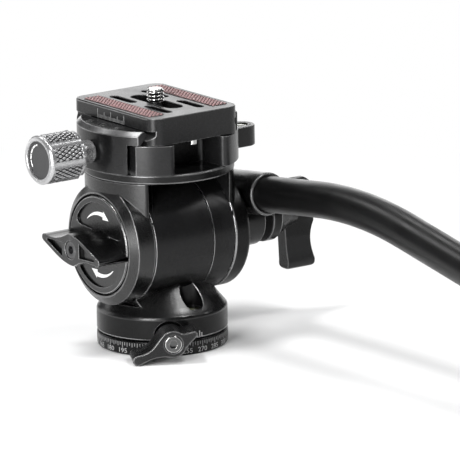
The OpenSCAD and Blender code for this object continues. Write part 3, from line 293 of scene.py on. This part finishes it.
def dress(node, body, width, worn_glint=None, material=None, clamp=False):
    """Stands for a CAD node with the same form, its sharp outer edges broken and given a paler finish, worn and
    with a painted highlight.

    The faces keep the solid's own normals, and a broken edge turns from one face's normal to the next one's.
    """
    source = nodes[node]
    material = material or SLOTS[slot_of[node]]
    bm = bmesh.new()
    bm.from_mesh(source.data)
    bmesh.ops.remove_doubles(bm, verts=bm.verts, dist=WELD)
    bmesh.ops.dissolve_limit(bm, angle_limit=math.radians(FLAT_ANGLE), verts=bm.verts, edges=bm.edges)
    bmesh.ops.connect_verts_concave(bm, faces=bm.faces)
    for face in bm.faces:
        face.smooth = True
    mesh = bpy.data.meshes.new(node + "_plain")
    bm.to_mesh(mesh)
    bm.free()
    mesh.materials.append(material)
    mesh.materials.append(worn_glint or material)
    obj = bpy.data.objects.new(node + "_finished", mesh)
    bpy.context.scene.collection.objects.link(obj)
    mod = obj.modifiers.new("broken_edges", "BEVEL")
    mod.width = width * MM
    mod.segments = 1
    mod.limit_method = "ANGLE"
    mod.angle_limit = math.radians(SHARP_ANGLE)
    mod.use_clamp_overlap = clamp
    mod.loop_slide = False
    # The bevel strips take the paler edge finish: wear and a painted highlight
    mod.material = 1
    mod = obj.modifiers.new("true_normals", "DATA_TRANSFER")
    mod.object = source
    mod.use_loop_data = True
    mod.data_types_loops = {"CUSTOM_NORMAL"}
    mod.loop_mapping = "POLYINTERP_NEAREST"
    graph = bpy.context.evaluated_depsgraph_get()
    finished = bpy.data.meshes.new_from_object(obj.evaluated_get(graph), preserve_all_data_layers=True,
                                               depsgraph=graph)
    finished.name = node + "_finished"
    for vert in finished.vertices:
        spot = source.closest_point_on_mesh(vert.co)[1]
        if (vert.co - spot).length > STRAY * width * MM:
            vert.co = spot
    # An edge in an inner corner, where the new face lies outside the solid, gets no paler worn edge and no
    # painted highlight
    for face in finished.polygons:
        if face.material_index == 1:
            _, spot, normal, _ = source.closest_point_on_mesh(face.center)
            if (face.center - spot).dot(normal) > 0:
                face.material_index = 0
    obj.modifiers.clear()
    obj.data = finished
    bpy.data.meshes.remove(mesh)
    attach(obj, body)
    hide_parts(node)
    return obj


def accent(obj, material, test):
    """Gives the faces of a dressed piece that pass a test another finish.

    The test gets a face's normal and its height in mm. Rubbed edges stay as they are.
    """
    obj.data.materials.append(material)
    index = len(obj.data.materials) - 1
    for face in obj.data.polygons:
        if face.material_index == 0 and test(face.normal, face.center.z / MM):
            face.material_index = index


def polar(r, degrees):
    """Point on a circle about the origin."""
    a = math.radians(degrees)
    return r * math.cos(a), r * math.sin(a)


def circle(centre, r, z, count=AROUND):
    """Ring of points about a standing axis."""
    cx, cy = centre
    turns = [math.tau * j / count for j in range(count)]
    return [(cx + r * math.cos(t), cy + r * math.sin(t), z) for t in turns]


def rows_to_mesh(name, rows, closed=True):
    """Skins rings of points, each with the same count, into one surface, and closes its two ends."""
    count = len(rows[0])
    verts = [p for row in rows for p in row]
    faces = []
    for i in range(len(rows) - 1):
        for j in range(count):
            k = (j + 1) % count
            faces.append((i * count + j, i * count + k, (i + 1) * count + k, (i + 1) * count + j))
    if closed:
        faces.append(tuple(range(count - 1, -1, -1)))
        faces.append(tuple((len(rows) - 1) * count + j for j in range(count)))
    return outward(mesh_of(name, verts, faces))


def turned(name, profile, centre):
    """Turns (radius, height) points about a standing axis; a radius of 0 closes the end."""
    return rows_to_mesh(name, [circle(centre, max(r, CLOSED_R), z) for r, z in profile])


def prism(verts, faces, low, high):
    """Adds a closed prism from matching rings of points."""
    n, base = len(low), len(verts)
    verts.extend(low)
    verts.extend(high)
    faces.append(tuple(base + i for i in range(n - 1, -1, -1)))
    faces.append(tuple(base + n + i for i in range(n)))
    for i in range(n):
        k = (i + 1) % n
        faces.append((base + i, base + k, base + n + k, base + n + i))


def left_marks(name, outlines, x, rise, body, material):
    """Printed marks on a face that looks to the left, from outlines of (y, z) points."""
    verts, faces = [], []
    for outline in outlines:
        prism(verts, faces, [(x + MARK_SINK, y, z) for y, z in outline], [(x - rise, y, z) for y, z in outline])
    add(name, outward(mesh_of(name, verts, faces)), body, material)


# ---------------------------------------------------------------- degree scale and index
FRONT_READING = 268.0                     # degrees of the scale that stand at the front
SCALE_STEP, NUMBER_STEP = 2.5, 15
SCALE_TOP, SCALE_WIDTH = 4.75, 0.28
STROKE_15, STROKE_5, STROKE_2 = 2.75, 3.2, 3.6    # lower ends of the long, middle and short strokes
SCALE_SINK, SCALE_RISE = 0.06, 0.025
NUMBER_Z, NUMBER_HEIGHT, NUMBER_STRETCH = 1.7, 1.7, 1.15
FIGURE = 0.70                             # height of a figure in the font's own size
NUMBER_SINK, NUMBER_HALF = 0.015, 0.04    # depth of a number's middle and half its thickness
# Angle, lower end, upper end and width of each stroke
INDEX = [(-1.1, 6.1, 8.6, 0.5), (-3.5, 6.3, 7.8, 0.35), (1.3, 6.3, 7.8, 0.5)]


def on_rim(phi, z, r):
    """Point on a cylinder about the pan axis; phi is in degrees from the front towards the right."""
    a = math.radians(phi)
    return (r * math.sin(a), -r * math.cos(a), z)


def rim_strokes(name, strokes, body, r, material):
    """Upright strokes on the rim."""
    verts, faces = [], []
    for phi, z0, z1, width in strokes:
        half = math.degrees(width / 2 / r)
        ring = [(phi - half, z0), (phi + half, z0), (phi + half, z1), (phi - half, z1)]
        prism(verts, faces, [on_rim(p, z, r - SCALE_SINK) for p, z in ring],
              [on_rim(p, z, r + SCALE_RISE) for p, z in ring])
    add(name, outward(mesh_of(name, verts, faces)), body, material)


def rim_numbers(name, labels, body, r, material):
    """Plain numbers bent round the rim."""
    verts, faces = [], []
    for phi, label in labels:
        curve = bpy.data.curves.new("label", "FONT")
        curve.body = label
        curve.size = NUMBER_HEIGHT / FIGURE
        curve.extrude = NUMBER_HALF
        curve.align_x = "CENTER"
        curve.resolution_u = 3
        holder = bpy.data.objects.new("label", curve)
        bpy.context.scene.collection.objects.link(holder)
        flat = bpy.data.meshes.new_from_object(holder.evaluated_get(bpy.context.evaluated_depsgraph_get()))
        bpy.data.objects.remove(holder)
        bpy.data.curves.remove(curve)
        start = len(verts)
        for v in flat.vertices:
            a = phi + math.degrees(v.co.x * NUMBER_STRETCH / r)
            verts.append(on_rim(a, NUMBER_Z - NUMBER_HEIGHT / 2 + v.co.y, r - NUMBER_SINK + v.co.z))
        faces.extend(tuple(start + i for i in p.vertices) for p in flat.polygons)
        bpy.data.meshes.remove(flat)
    add(name, mesh_of(name, verts, faces), body, material)


strokes = []
for i in range(round(360 / SCALE_STEP)):
    value = i * SCALE_STEP
    low = STROKE_15 if value % 15 == 0 else STROKE_5 if value % 5 == 0 else STROKE_2
    strokes.append((value - FRONT_READING, low, SCALE_TOP, SCALE_WIDTH))
rim_strokes("scale_strokes", strokes, "base", BASE_R, GREY_PAINT)
numbers = [(value - FRONT_READING, str(value)) for value in range(0, 360, NUMBER_STEP)]
rim_numbers("scale_numbers", numbers, "base", BASE_R, SCALE_PAINT)
rim_strokes("index_strokes", INDEX, "pan", BASE_R, SCALE_PAINT)


# ---------------------------------------------------------------- tilt knob arrows
ARROW_R, ARROW_RISE = 11.4, 0.03
ARROW_TAIL, ARROW_NECK, ARROW_TIP = 133, 79, 60         # degrees
ARROW_THIN, ARROW_GROWTH, ARROW_STEPS = 0.12, 0.72, 12  # half width at the tail and what it gains
BARB_OUT, BARB_IN, TIP_IN = 1.5, 1.7, 0.3               # the head's points, off the arrow's circle


def arrow_outline():
    """Tapering arrow on a circle, which points clockwise seen from outside."""
    inner, outer = [], []
    for i in range(ARROW_STEPS + 1):
        a = ARROW_TAIL - (ARROW_TAIL - ARROW_NECK) * i / ARROW_STEPS
        half = ARROW_THIN + ARROW_GROWTH * (i / ARROW_STEPS)
        outer.append(polar(ARROW_R + half, a))
        inner.append(polar(ARROW_R - half, a))
    head = [polar(ARROW_R + BARB_OUT, ARROW_NECK), polar(ARROW_R - TIP_IN, ARROW_TIP),
            polar(ARROW_R - BARB_IN, ARROW_NECK)]
    return outer + head + inner[::-1]


arrows = [[(-turn * h, TILT_Z + turn * v) for h, v in arrow_outline()] for turn in (1, -1)]
left_marks("tilt_knob_arrows", arrows, CRESCENT_X, ARROW_RISE, "tilt_lock", PAINT)


# ---------------------------------------------------------------- clamp knob with diamond knurl
KNURL_IN, KNURL_OUT = 38.7, 50.7
KNURL_AROUND, KNURL_STEPS = 35, 12        # diamonds around the knob, and points across each
KNURL_PITCH = 12.0 / 4.25
KNURL_DEPTH, KNURL_FADE = 0.4, 0.4
GROOVE_HALF = 0.24                        # half a groove's width, in diamonds
GROOVE_SHADE_DEPTH, FLUTE_MARGIN = 0.13, 0.06    # painted shade lies deeper than this under the lands and the flutes
FLUTES, FLUTE_R, FLUTE_DEPTH, FLUTE_END = 7, 3.2, 0.6, 51.1
FLUTE_PHASE = math.radians(6.5)
# Distance along the axis and radius, from the inner end to the shoulder
KNOB_NECK = [(KNOB_IN, 3.0), (KNOB_IN, KNOB_NECK_R - 0.8), (KNOB_IN + 0.8, KNOB_NECK_R),
             (KNOB_FACE - 0.5, KNOB_NECK_R), (KNOB_FACE - 0.15, KNOB_NECK_R + 0.15),
             (KNOB_FACE, KNOB_NECK_R + 0.5)]
# Distance along the axis and how far the ring lies inside the fluted outline
KNOB_SHOULDER = [(KNOB_FACE, 0.45), (KNOB_FACE + 0.13, 0.13), (KNOB_FACE + 0.45, 0.0), (KNURL_IN - 0.25, 0.0)]
# Distance along the axis and radius, from the flutes' end to the bed of the end disc
KNOB_HEAD = [(FLUTE_END + 0.02, KNOB_R - 0.12), (FLUTE_END + 0.14, KNOB_R), (KNOB_END - 0.85, KNOB_R),
             (KNOB_END - 0.7, KNOB_R - 0.06), (KNOB_END - 0.1, KNOB_R - 0.66), (KNOB_END, KNOB_R - 0.85),
             (KNOB_END, KNOB_CAP_R + 0.15), (KNOB_END - 0.15, KNOB_CAP_R), (KNOB_END - KNOB_BED, KNOB_CAP_R),
             (KNOB_END - KNOB_BED, 0.01)]
# White turning mark on the end disc: arcs in degrees, and their radii
MARK_ARCS = ((104, 113), (117, 137), (141, 161), (165, 185), (189, 215))
MARK_OUT, MARK_IN, MARK_RISE, MARK_STEPS = 5.75, 5.2, 0.03, 8


def flute_radius(theta):
    """Radius of the knob's outline at an angle, with its smooth flutes."""
    step = math.tau / FLUTES
    d = ((theta - FLUTE_PHASE) % step) - step / 2
    out = KNOB_R + FLUTE_R - FLUTE_DEPTH
    side = out * math.sin(d)
    if abs(side) >= FLUTE_R:
        return KNOB_R
    return min(KNOB_R, out * math.cos(d) - math.sqrt(FLUTE_R ** 2 - side ** 2))


def groove(x):
    """1 in the middle of a groove, 0 on the flats between grooves."""
    return max(0.0, 1 - abs((x + 0.5) % 1 - 0.5) / GROOVE_HALF)


def knob_mesh(name):
    """Skins the knob from its inner end to the bed of its end disc."""
    count = KNURL_AROUND * KNURL_STEPS
    angles = [math.tau * j / count for j in range(count)]
    outline = [flute_radius(t) for t in angles]
    rows = []

    def row(a, radii):
        rows.append([(-a, r * math.cos(t), LEAD_Z + r * math.sin(t)) for r, t in zip(radii, angles)])

    for a, r in KNOB_NECK:
        row(a, [r] * count)
    for a, cut in KNOB_SHOULDER:
        row(a, [r - cut for r in outline])
    for i in range(round((KNURL_OUT - KNURL_IN) / KNURL_PITCH * KNURL_STEPS) + 1):
        a = KNURL_IN + i * KNURL_PITCH / KNURL_STEPS
        depth = KNURL_DEPTH * min(1.0, (a - KNURL_IN) / KNURL_FADE, (KNURL_OUT - a) / KNURL_FADE)
        w = (a - KNURL_IN) / KNURL_PITCH
        radii = []
        for j in range(count):
            u = j / KNURL_STEPS
            radii.append(min(KNOB_R - depth * max(groove(u + w), groove(u - w)), outline[j]))
        row(a, radii)
    row(FLUTE_END, outline)
    for a, r in KNOB_HEAD:
        row(a, [r] * count)
    return rows_to_mesh(name, rows)


knob = add("clamp_knob_knurled", knob_mesh("clamp_knob_knurled"), "jaw_knob", SILVER, sharp=28)
# Faces deep in the knurl's grooves are painted dark as shade
knob.data.materials.append(GROOVE_SHADE)
for face in knob.data.polygons:
    if KNURL_IN < -face.center.x / MM < KNURL_OUT:
        y, z = face.center.y, face.center.z - LEAD_Z * MM
        ground = min(KNOB_R - GROOVE_SHADE_DEPTH, flute_radius(math.atan2(z, y)) - FLUTE_MARGIN)
        face.material_index = 1 if math.hypot(y, z) / MM < ground else 0
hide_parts("clamp_knob")

arcs = []
for start, stop in MARK_ARCS:
    bends = [start + (stop - start) * i / MARK_STEPS for i in range(MARK_STEPS + 1)]
    arc = [polar(MARK_OUT, a) for a in bends] + [polar(MARK_IN, a) for a in bends[::-1]]
    arcs.append([(-h, LEAD_Z + v) for h, v in arc])
left_marks("clamp_knob_mark", arcs, -(KNOB_END - KNOB_CAP_SINK), MARK_RISE, "jaw_knob", PAINT)


# ---------------------------------------------------------------- camera screw with its thread
THREAD_R, THREAD_PITCH, THREAD_DEPTH = 3.175, 1.27, 0.74
THREAD_HALF = 0.43                                # half the cut's width, in pitches
THREAD_LOW, THREAD_TOP = PLATE_TOP + 0.1, PLATE_TOP + 4.8
THREAD_CORE, THREAD_CHAMFER = 2.5, 0.8
THREAD_AROUND, THREAD_STEPS = 72, 64
# Radius and top inside which the thread's cut is painted dark as shade
THREAD_SHADE_R, THREAD_SHADE_TOP = 2.72, PLATE_TOP + 4.0
STUD_CUT = PLATE_TOP + 0.05                       # where the solid's plain stud is cut off


def thread_rows():
    """Rings of the threaded stud, from its foot to its chamfered end."""
    rows = [circle((0.0, PLATE_Y), THREAD_CORE, THREAD_LOW, THREAD_AROUND)]
    for i in range(THREAD_STEPS + 1):
        z = THREAD_LOW + (THREAD_TOP - THREAD_LOW) * i / THREAD_STEPS
        end = THREAD_R - max(0.0, z - (THREAD_TOP - THREAD_CHAMFER))
        ring = []
        for j in range(THREAD_AROUND):
            t = math.tau * j / THREAD_AROUND
            x = (z / THREAD_PITCH - j / THREAD_AROUND) % 1
            cut = max(0.0, 1 - abs(x - 0.5) / THREAD_HALF)
            r = min(THREAD_R - THREAD_DEPTH * cut, end)
            ring.append((r * math.cos(t), PLATE_Y + r * math.sin(t), z))
        rows.append(ring)
    return rows


mesh = nodes["camera_screw"].data.copy()
bm = bmesh.new()
bm.from_mesh(mesh)
bmesh.ops.remove_doubles(bm, verts=bm.verts, dist=WELD)
bmesh.ops.bisect_plane(bm, geom=bm.verts[:] + bm.edges[:] + bm.faces[:], plane_co=(0, 0, STUD_CUT * MM),
                       plane_no=(0, 0, 1), clear_outer=True)
stud = rows_to_mesh("stud", thread_rows())
bm.from_mesh(stud)
bm.to_mesh(mesh)
bm.free()
bpy.data.meshes.remove(stud)
screw = add("camera_screw_threaded", mesh, "camera_bolt", BRIGHT, sharp=30)
# Faces in the thread's cut are painted dark as shade
screw.data.materials.append(GROOVE_SHADE)
for face in screw.data.polygons:
    r = math.hypot(face.center.x, face.center.y - PLATE_Y * MM) / MM
    in_cut = THREAD_LOW < face.center.z / MM < THREAD_SHADE_TOP and r < THREAD_SHADE_R
    face.material_index = 1 if in_cut else 0
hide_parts("camera_screw")


# ---------------------------------------------------------------- rubber pads with a diamond grip
PAD_SHELF = PAD_TOP - 0.3                     # floor between the diamonds
PAD_BEVEL_IN, PAD_BEVEL_DOWN = 0.15, 0.1
PAD_MARGIN = 0.1                              # from the diamonds to the pad's edge
PAD_SHADE_TOP = PAD_TOP - 0.25
DIAMOND = 0.85                                # half the distance between diamonds in a row
DIAMOND_FOOT, DIAMOND_TOP, DIAMOND_SINK = 0.74, 0.62, 0.02


def rounded_rect(w, l, r, steps=6):
    """Outline of a rectangle with round corners, about the origin."""
    out = []
    for cx, cy, start in ((w / 2 - r, l / 2 - r, 0), (-w / 2 + r, l / 2 - r, 90),
                          (-w / 2 + r, -l / 2 + r, 180), (w / 2 - r, -l / 2 + r, 270)):
        for i in range(steps + 1):
            x, y = polar(r, start + 90 * i / steps)
            out.append((cx + x, cy + y))
    return out


def add_pad(verts, faces, cx):
    """One strip with its bevelled edge, up to the floor between the diamonds."""
    edge = rounded_rect(PAD_W, PAD_L, PAD_ROUND)
    inner = rounded_rect(PAD_W - 2 * PAD_BEVEL_IN, PAD_L - 2 * PAD_BEVEL_IN, PAD_ROUND - PAD_BEVEL_IN)
    n, base = len(edge), len(verts)
    for ring, z in ((edge, PAD_LOW), (edge, PAD_SHELF - PAD_BEVEL_DOWN), (inner, PAD_SHELF)):
        verts.extend((cx + x, PLATE_Y + y, z) for x, y in ring)
    faces.append(tuple(base + i for i in range(n - 1, -1, -1)))
    for k in range(2):
        low, high = base + k * n, base + (k + 1) * n
        for i in range(n):
            j = (i + 1) % n
            faces.append((low + i, low + j, high + j, high + i))
    faces.append(tuple(base + 2 * n + i for i in range(n)))


def add_diamond(verts, faces, cx, cy):
    """One raised diamond with sloping sides, open below."""
    b = len(verts)
    for share, z in ((DIAMOND_FOOT, PAD_SHELF - DIAMOND_SINK), (DIAMOND_TOP, PAD_TOP)):
        reach = DIAMOND * share
        verts.extend((cx + dx * reach, cy + dy * reach, z) for dx, dy in ((1, 0), (0, 1), (-1, 0), (0, -1)))
    faces.append((b + 4, b + 5, b + 6, b + 7))
    for k in range(4):
        m = (k + 1) % 4
        faces.append((b + k, b + m, b + 4 + m, b + 4 + k))


def pads_mesh(name):
    """The two strips with their diamonds."""
    verts, faces = [], []
    cols, lines = int(PAD_W / DIAMOND), int(PAD_L / DIAMOND)
    x_end, y_end = PAD_W / 2 - DIAMOND - PAD_MARGIN, PAD_L / 2 - DIAMOND - PAD_MARGIN
    for side in (-1, 1):
        add_pad(verts, faces, side * PAD_X)
        for i in range(-cols, cols + 1):
            for j in range(-lines, lines + 1):
                x, y = i * DIAMOND, j * DIAMOND
                if (i + j) % 2 == 0 and abs(x) <= x_end and abs(y) <= y_end:
                    add_diamond(verts, faces, side * PAD_X + x, PLATE_Y + y)
    return mesh_of(name, verts, faces)


pads = add("plate_pads_ribbed", pads_mesh("plate_pads_ribbed"), "plate", PADS, sharp=20)
# Faces below the diamonds' tops are painted dark as shade
pads.data.materials.append(PAD_GROOVE_SHADE)
for face in pads.data.polygons:
    face.material_index = 1 if face.center.z / MM < PAD_SHADE_TOP else 0
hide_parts("plate_pads")


# ---------------------------------------------------------------- ruler on the plate's left side
RULER_COUNT, RULER_START, RULER_STEP = 21, 10.2, 0.815
RULER_HALF, RULER_RISE = 0.15, 0.025
RULER_LOW, RULER_10, RULER_5, RULER_1 = 84.1, 87.4, 86.5, 85.4    # foot and tops of the strokes

ruler = []
for i in range(RULER_COUNT):
    y = RULER_START - i * RULER_STEP
    top = RULER_10 if i % 10 == 0 else RULER_5 if i % 5 == 0 else RULER_1
    ruler.append([(y - RULER_HALF, RULER_LOW), (y + RULER_HALF, RULER_LOW), (y + RULER_HALF, top),
                  (y - RULER_HALF, top)])
left_marks("plate_ruler", ruler, -PLATE_SIDE, RULER_RISE, "plate", GREY_PAINT)


# ---------------------------------------------------------------- bubble levels
LEVEL_LIP, LEVEL_STEPS = 0.35, 8               # rim inside which the dome rises, and the dome's rings
RING_PLACE, RING_HALF = 0.5, 0.16              # share of the level's radius, and half width in mm
RING_SINK, RING_RISE = 0.05, 0.03
BUBBLE_SIZE = 0.36                             # share of the level's radius


def level(name, node, body, r, centre, bottom, rim, crown):
    """Domed capsule with its ring and its bubble."""
    dome_r = r - LEVEL_LIP
    dome = [(0, bottom), (r - 0.15, bottom), (r, bottom + 0.15), (r, rim - 0.3), (r - 0.1, rim - 0.08),
            (dome_r, rim)]
    for i in range(1, LEVEL_STEPS + 1):
        t = i / LEVEL_STEPS * math.pi / 2
        dome.append((dome_r * math.cos(t), rim + (crown - rim) * math.sin(t)))
    capsule = add(name + "_capsule", turned(name, dome, centre), body, VIAL, sharp=50)
    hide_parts(node)

    def height(x):
        return rim + (crown - rim) * math.sqrt(max(0.0, 1 - (x / dome_r) ** 2))

    a = r * RING_PLACE
    a_in, a_out = a - RING_HALF, a + RING_HALF
    ring = [(a_in, height(a) - RING_SINK), (a_in, height(a_in) + RING_RISE), (a_out, height(a_out) + RING_RISE),
            (a_out, height(a_out) - RING_SINK)]
    rows = [circle(centre, x, z) for x, z in ring + ring[:1]]
    add(name + "_ring", rows_to_mesh(name + "_ring", rows, closed=False), body, INK, sharp=60)

    b = r * BUBBLE_SIZE
    lens = [(0, height(0) - 0.12), (b, height(b) - 0.04), (b * 0.93, height(b) + 0.02),
            (b * 0.6, height(0) + 0.05), (0, height(0) + 0.07)]
    add(name + "_bubble", turned(name + "_bubble", lens, centre), body, BUBBLE, sharp=70)


level("base_level", "base_level_vial", "pan", 3.3, (0, -18.3), 13.55, 15.1, 15.5)
level("side_level", "side_level_vial", "tilt", 2.85, (36.4, 0), 71.25, 74.5, 74.9)


# ---------------------------------------------------------------- finished copies of the visible solids
# Heights of the housing's shoulder in mm, and slopes as the upward part of a face's normal
SHOULDER_LOW, SHOULDER_HIGH = 13.0, 30.0
UPRIGHT, LEVEL_FACE = 0.03, 0.98
WING_TOP, PLATE_LIT_TOP = 0.3, 0.4
CHAMFER_LOW, CHAMFER_HIGH, CHAMFER_RIGHT = 0.4, 0.9, 0.3


def on_shoulder(normal, z):
    """Sloping faces on the pan housing's shoulder, which take a glossier black as a painted sheen."""
    return UPRIGHT < normal.z < LEVEL_FACE and SHOULDER_LOW < z < SHOULDER_HIGH


def on_chamfer(normal, z):
    """The jaw's upper chamfer, except where it looks to the right; it takes a paler, glossier black as a
    painted highlight.
    """
    return CHAMFER_LOW < normal.z < CHAMFER_HIGH and normal.x < CHAMFER_RIGHT


dress("base_plate", "base", 0.3, material=DEEP)
housing = dress("pan_housing", "pan", 0.25, WORN_GLINT)
# The shoulder takes a glossier black than the walls, as a painted sheen
accent(housing, SATIN, on_shoulder)
dress("drum_cap", "pan", 0.25, WORN_GLINT)
dress("pan_lever", "pan_lock", 0.5, RUBBED_GLINT)
dress("pan_lock_screw", "pan_lock", 0.2, BRIGHT, HEAD, clamp=True)
dress("left_cheek", "tilt", 0.25, RUBBED_GLINT, SATIN)
dress("right_cheek", "tilt", 0.3, WORN_GLINT, DEEP)
dress("top_platform", "tilt", 0.3, RUBBED_GLINT)
dress("clamp_body", "tilt", 0.25, RUBBED_GLINT)
wing = dress("tilt_knob", "tilt_lock", 0.14, WORN_GLINT, SATIN)
# The wing's upward faces take a less glossy black than its sides: painted shade on its top
accent(wing, DEEP, lambda normal, z: normal.z > WING_TOP)
jaw = dress("moving_jaw", "jaw", 0.25, RUBBED_GLINT)
# The jaw's chamfer, except where it looks right, is painted paler as a highlight
accent(jaw, CHAMFER_HIGHLIGHT, on_chamfer)
dress("jaw_screws", "jaw", 0.25, BRIGHT, HEAD, clamp=True)
# The plate's sides take plain black and its upward faces a paler black: a painted lit top and shaded sides
plate = dress("release_plate", "plate", 0.25, RUBBED_GLINT, BLACK)
accent(plate, PLATE, lambda normal, z: normal.z > PLATE_LIT_TOP)
dress("handle_hub", "handle", 0.3, RUBBED_GLINT)
dress("handle_knob", "handle_lock", 0.35, RUBBED_GLINT, DEEP)
dress("handle_end_cap", "handle", 0.3)
dress("handle_grip", "handle", 0.25, clamp=True)


# ---------------------------------------------------------------- studio, in metres
AIM = Vector((0, 0, 0.045))                    # what the panels face
FLOOR_HALF = 6.0
SHADOW_R, WHITE_R = 0.06, 0.32                 # the floor turns from paper to white between these
AZ, EL, ROLL = math.radians(-35.75), math.radians(13.5), math.radians(-1.07)
EYE = (-1.52396, -2.15987, 0.67539)
SENSOR, LENS = 36.0, 589.7                     # in mm


def area(name, towards, distance, size, radiance):
    """Soft panel in a direction from the object, facing it; radiance is the panel's own brightness."""
    lamp = bpy.data.lights.new(name, "AREA")
    lamp.shape = "RECTANGLE"
    lamp.size, lamp.size_y = size
    lamp.energy = radiance * math.pi * size[0] * size[1]
    obj = bpy.data.objects.new(name, lamp)
    d = Vector(towards).normalized()
    obj.location = AIM + d * distance
    obj.rotation_euler = d.to_track_quat("Z", "Y").to_euler()
    bpy.context.scene.collection.objects.link(obj)


area("overhead_left", (-0.32, 0.02, 0.95), 1.3, (0.24, 0.24), 42.0)
area("back_top", (0.38, 0.53, 1.12), 1.3, (0.3, 0.3), 8.0)
area("back_left_top", (-0.30, 0.60, 0.80), 1.3, (0.3, 0.3), 8.0)
area("front_right_top", (0.21, -0.47, 0.86), 1.3, (0.32, 0.32), 18.0)
area("right_front_top", (0.65, -0.35, 0.65), 1.3, (0.25, 0.25), 12.0)
area("left_front_low", (-0.26, -0.15, 0.07), 0.31, (0.12, 0.2), 13.0)
area("back_left_low", (-0.20, 0.45, 0.10), 0.5, (0.3, 0.3), 1.3)
area("back_low", (0.58, 0.80, 0.22), 1.0, (0.7, 0.6), 2.2)

world = bpy.data.worlds.new("studio")
world.use_nodes = True
background = world.node_tree.nodes["Background"]
background.inputs["Color"].default_value = (0.93, 0.95, 1.0, 1)
background.inputs["Strength"].default_value = 0.05
bpy.context.scene.world = world

# Floor: pale, keeps the soft shadow near the object and runs out to white
floor_mesh = bpy.data.meshes.new("floor")
corners = [(x * FLOOR_HALF, y * FLOOR_HALF, 0) for x, y in ((-1, -1), (1, -1), (1, 1), (-1, 1))]
floor_mesh.from_pydata(corners, [], [(0, 1, 2, 3)])
floor = bpy.data.objects.new("floor", floor_mesh)
bpy.context.scene.collection.objects.link(floor)
mat, tree, shader, coords = tree_of("floor_paper")
shader.inputs["Specular IOR Level"].default_value = 0.1
shader.inputs["Roughness"].default_value = 0.9
paper = mixed(tree, noise(tree, coords, 40.0, 3.0), (0.9, 0.9, 0.9), (0.93, 0.93, 0.93))
tree.links.new(paper, shader.inputs["Base Color"])
white = tree.nodes.new("ShaderNodeEmission")
white.inputs["Strength"].default_value = 1.0
distance = tree.nodes.new("ShaderNodeVectorMath")
distance.operation = "LENGTH"
tree.links.new(coords, distance.inputs[0])
fade = spread(tree, distance.outputs["Value"], 0.0, 1.0, SHADOW_R, WHITE_R)
path = tree.nodes.new("ShaderNodeLightPath")
seen = combined(tree, "MAXIMUM", path.outputs["Is Camera Ray"], path.outputs["Is Glossy Ray"])
seen = combined(tree, "MAXIMUM", seen, path.outputs["Is Transmission Ray"])
mix = tree.nodes.new("ShaderNodeMixShader")
tree.links.new(combined(tree, "MULTIPLY", fade, seen), mix.inputs[0])
tree.links.new(shader.outputs[0], mix.inputs[1])
tree.links.new(white.outputs[0], mix.inputs[2])
tree.links.new(mix.outputs[0], tree.nodes["Material Output"].inputs["Surface"])
floor.data.materials.append(mat)

# Camera: a long lens, a little above, from the front left
back = Vector((math.sin(AZ) * math.cos(EL), -math.cos(AZ) * math.cos(EL), math.sin(EL)))
level_right = Vector((math.cos(AZ), math.sin(AZ), 0))
level_up = back.cross(level_right)
right = level_right * math.cos(ROLL) + level_up * math.sin(ROLL)
up = level_up * math.cos(ROLL) - level_right * math.sin(ROLL)
camera = bpy.data.cameras.new("camera")
camera.sensor_fit = "HORIZONTAL"
camera.sensor_width = SENSOR
camera.lens = LENS
camera.clip_start = 0.1
camera.clip_end = 50.0
eye = bpy.data.objects.new("camera", camera)
bpy.context.scene.collection.objects.link(eye)
eye.matrix_world = Matrix(((right.x, up.x, back.x, EYE[0]), (right.y, up.y, back.y, EYE[1]),
                           (right.z, up.z, back.z, EYE[2]), (0, 0, 0, 1)))
bpy.context.scene.camera = eye
bpy.context.scene.view_settings.view_transform = "Standard"
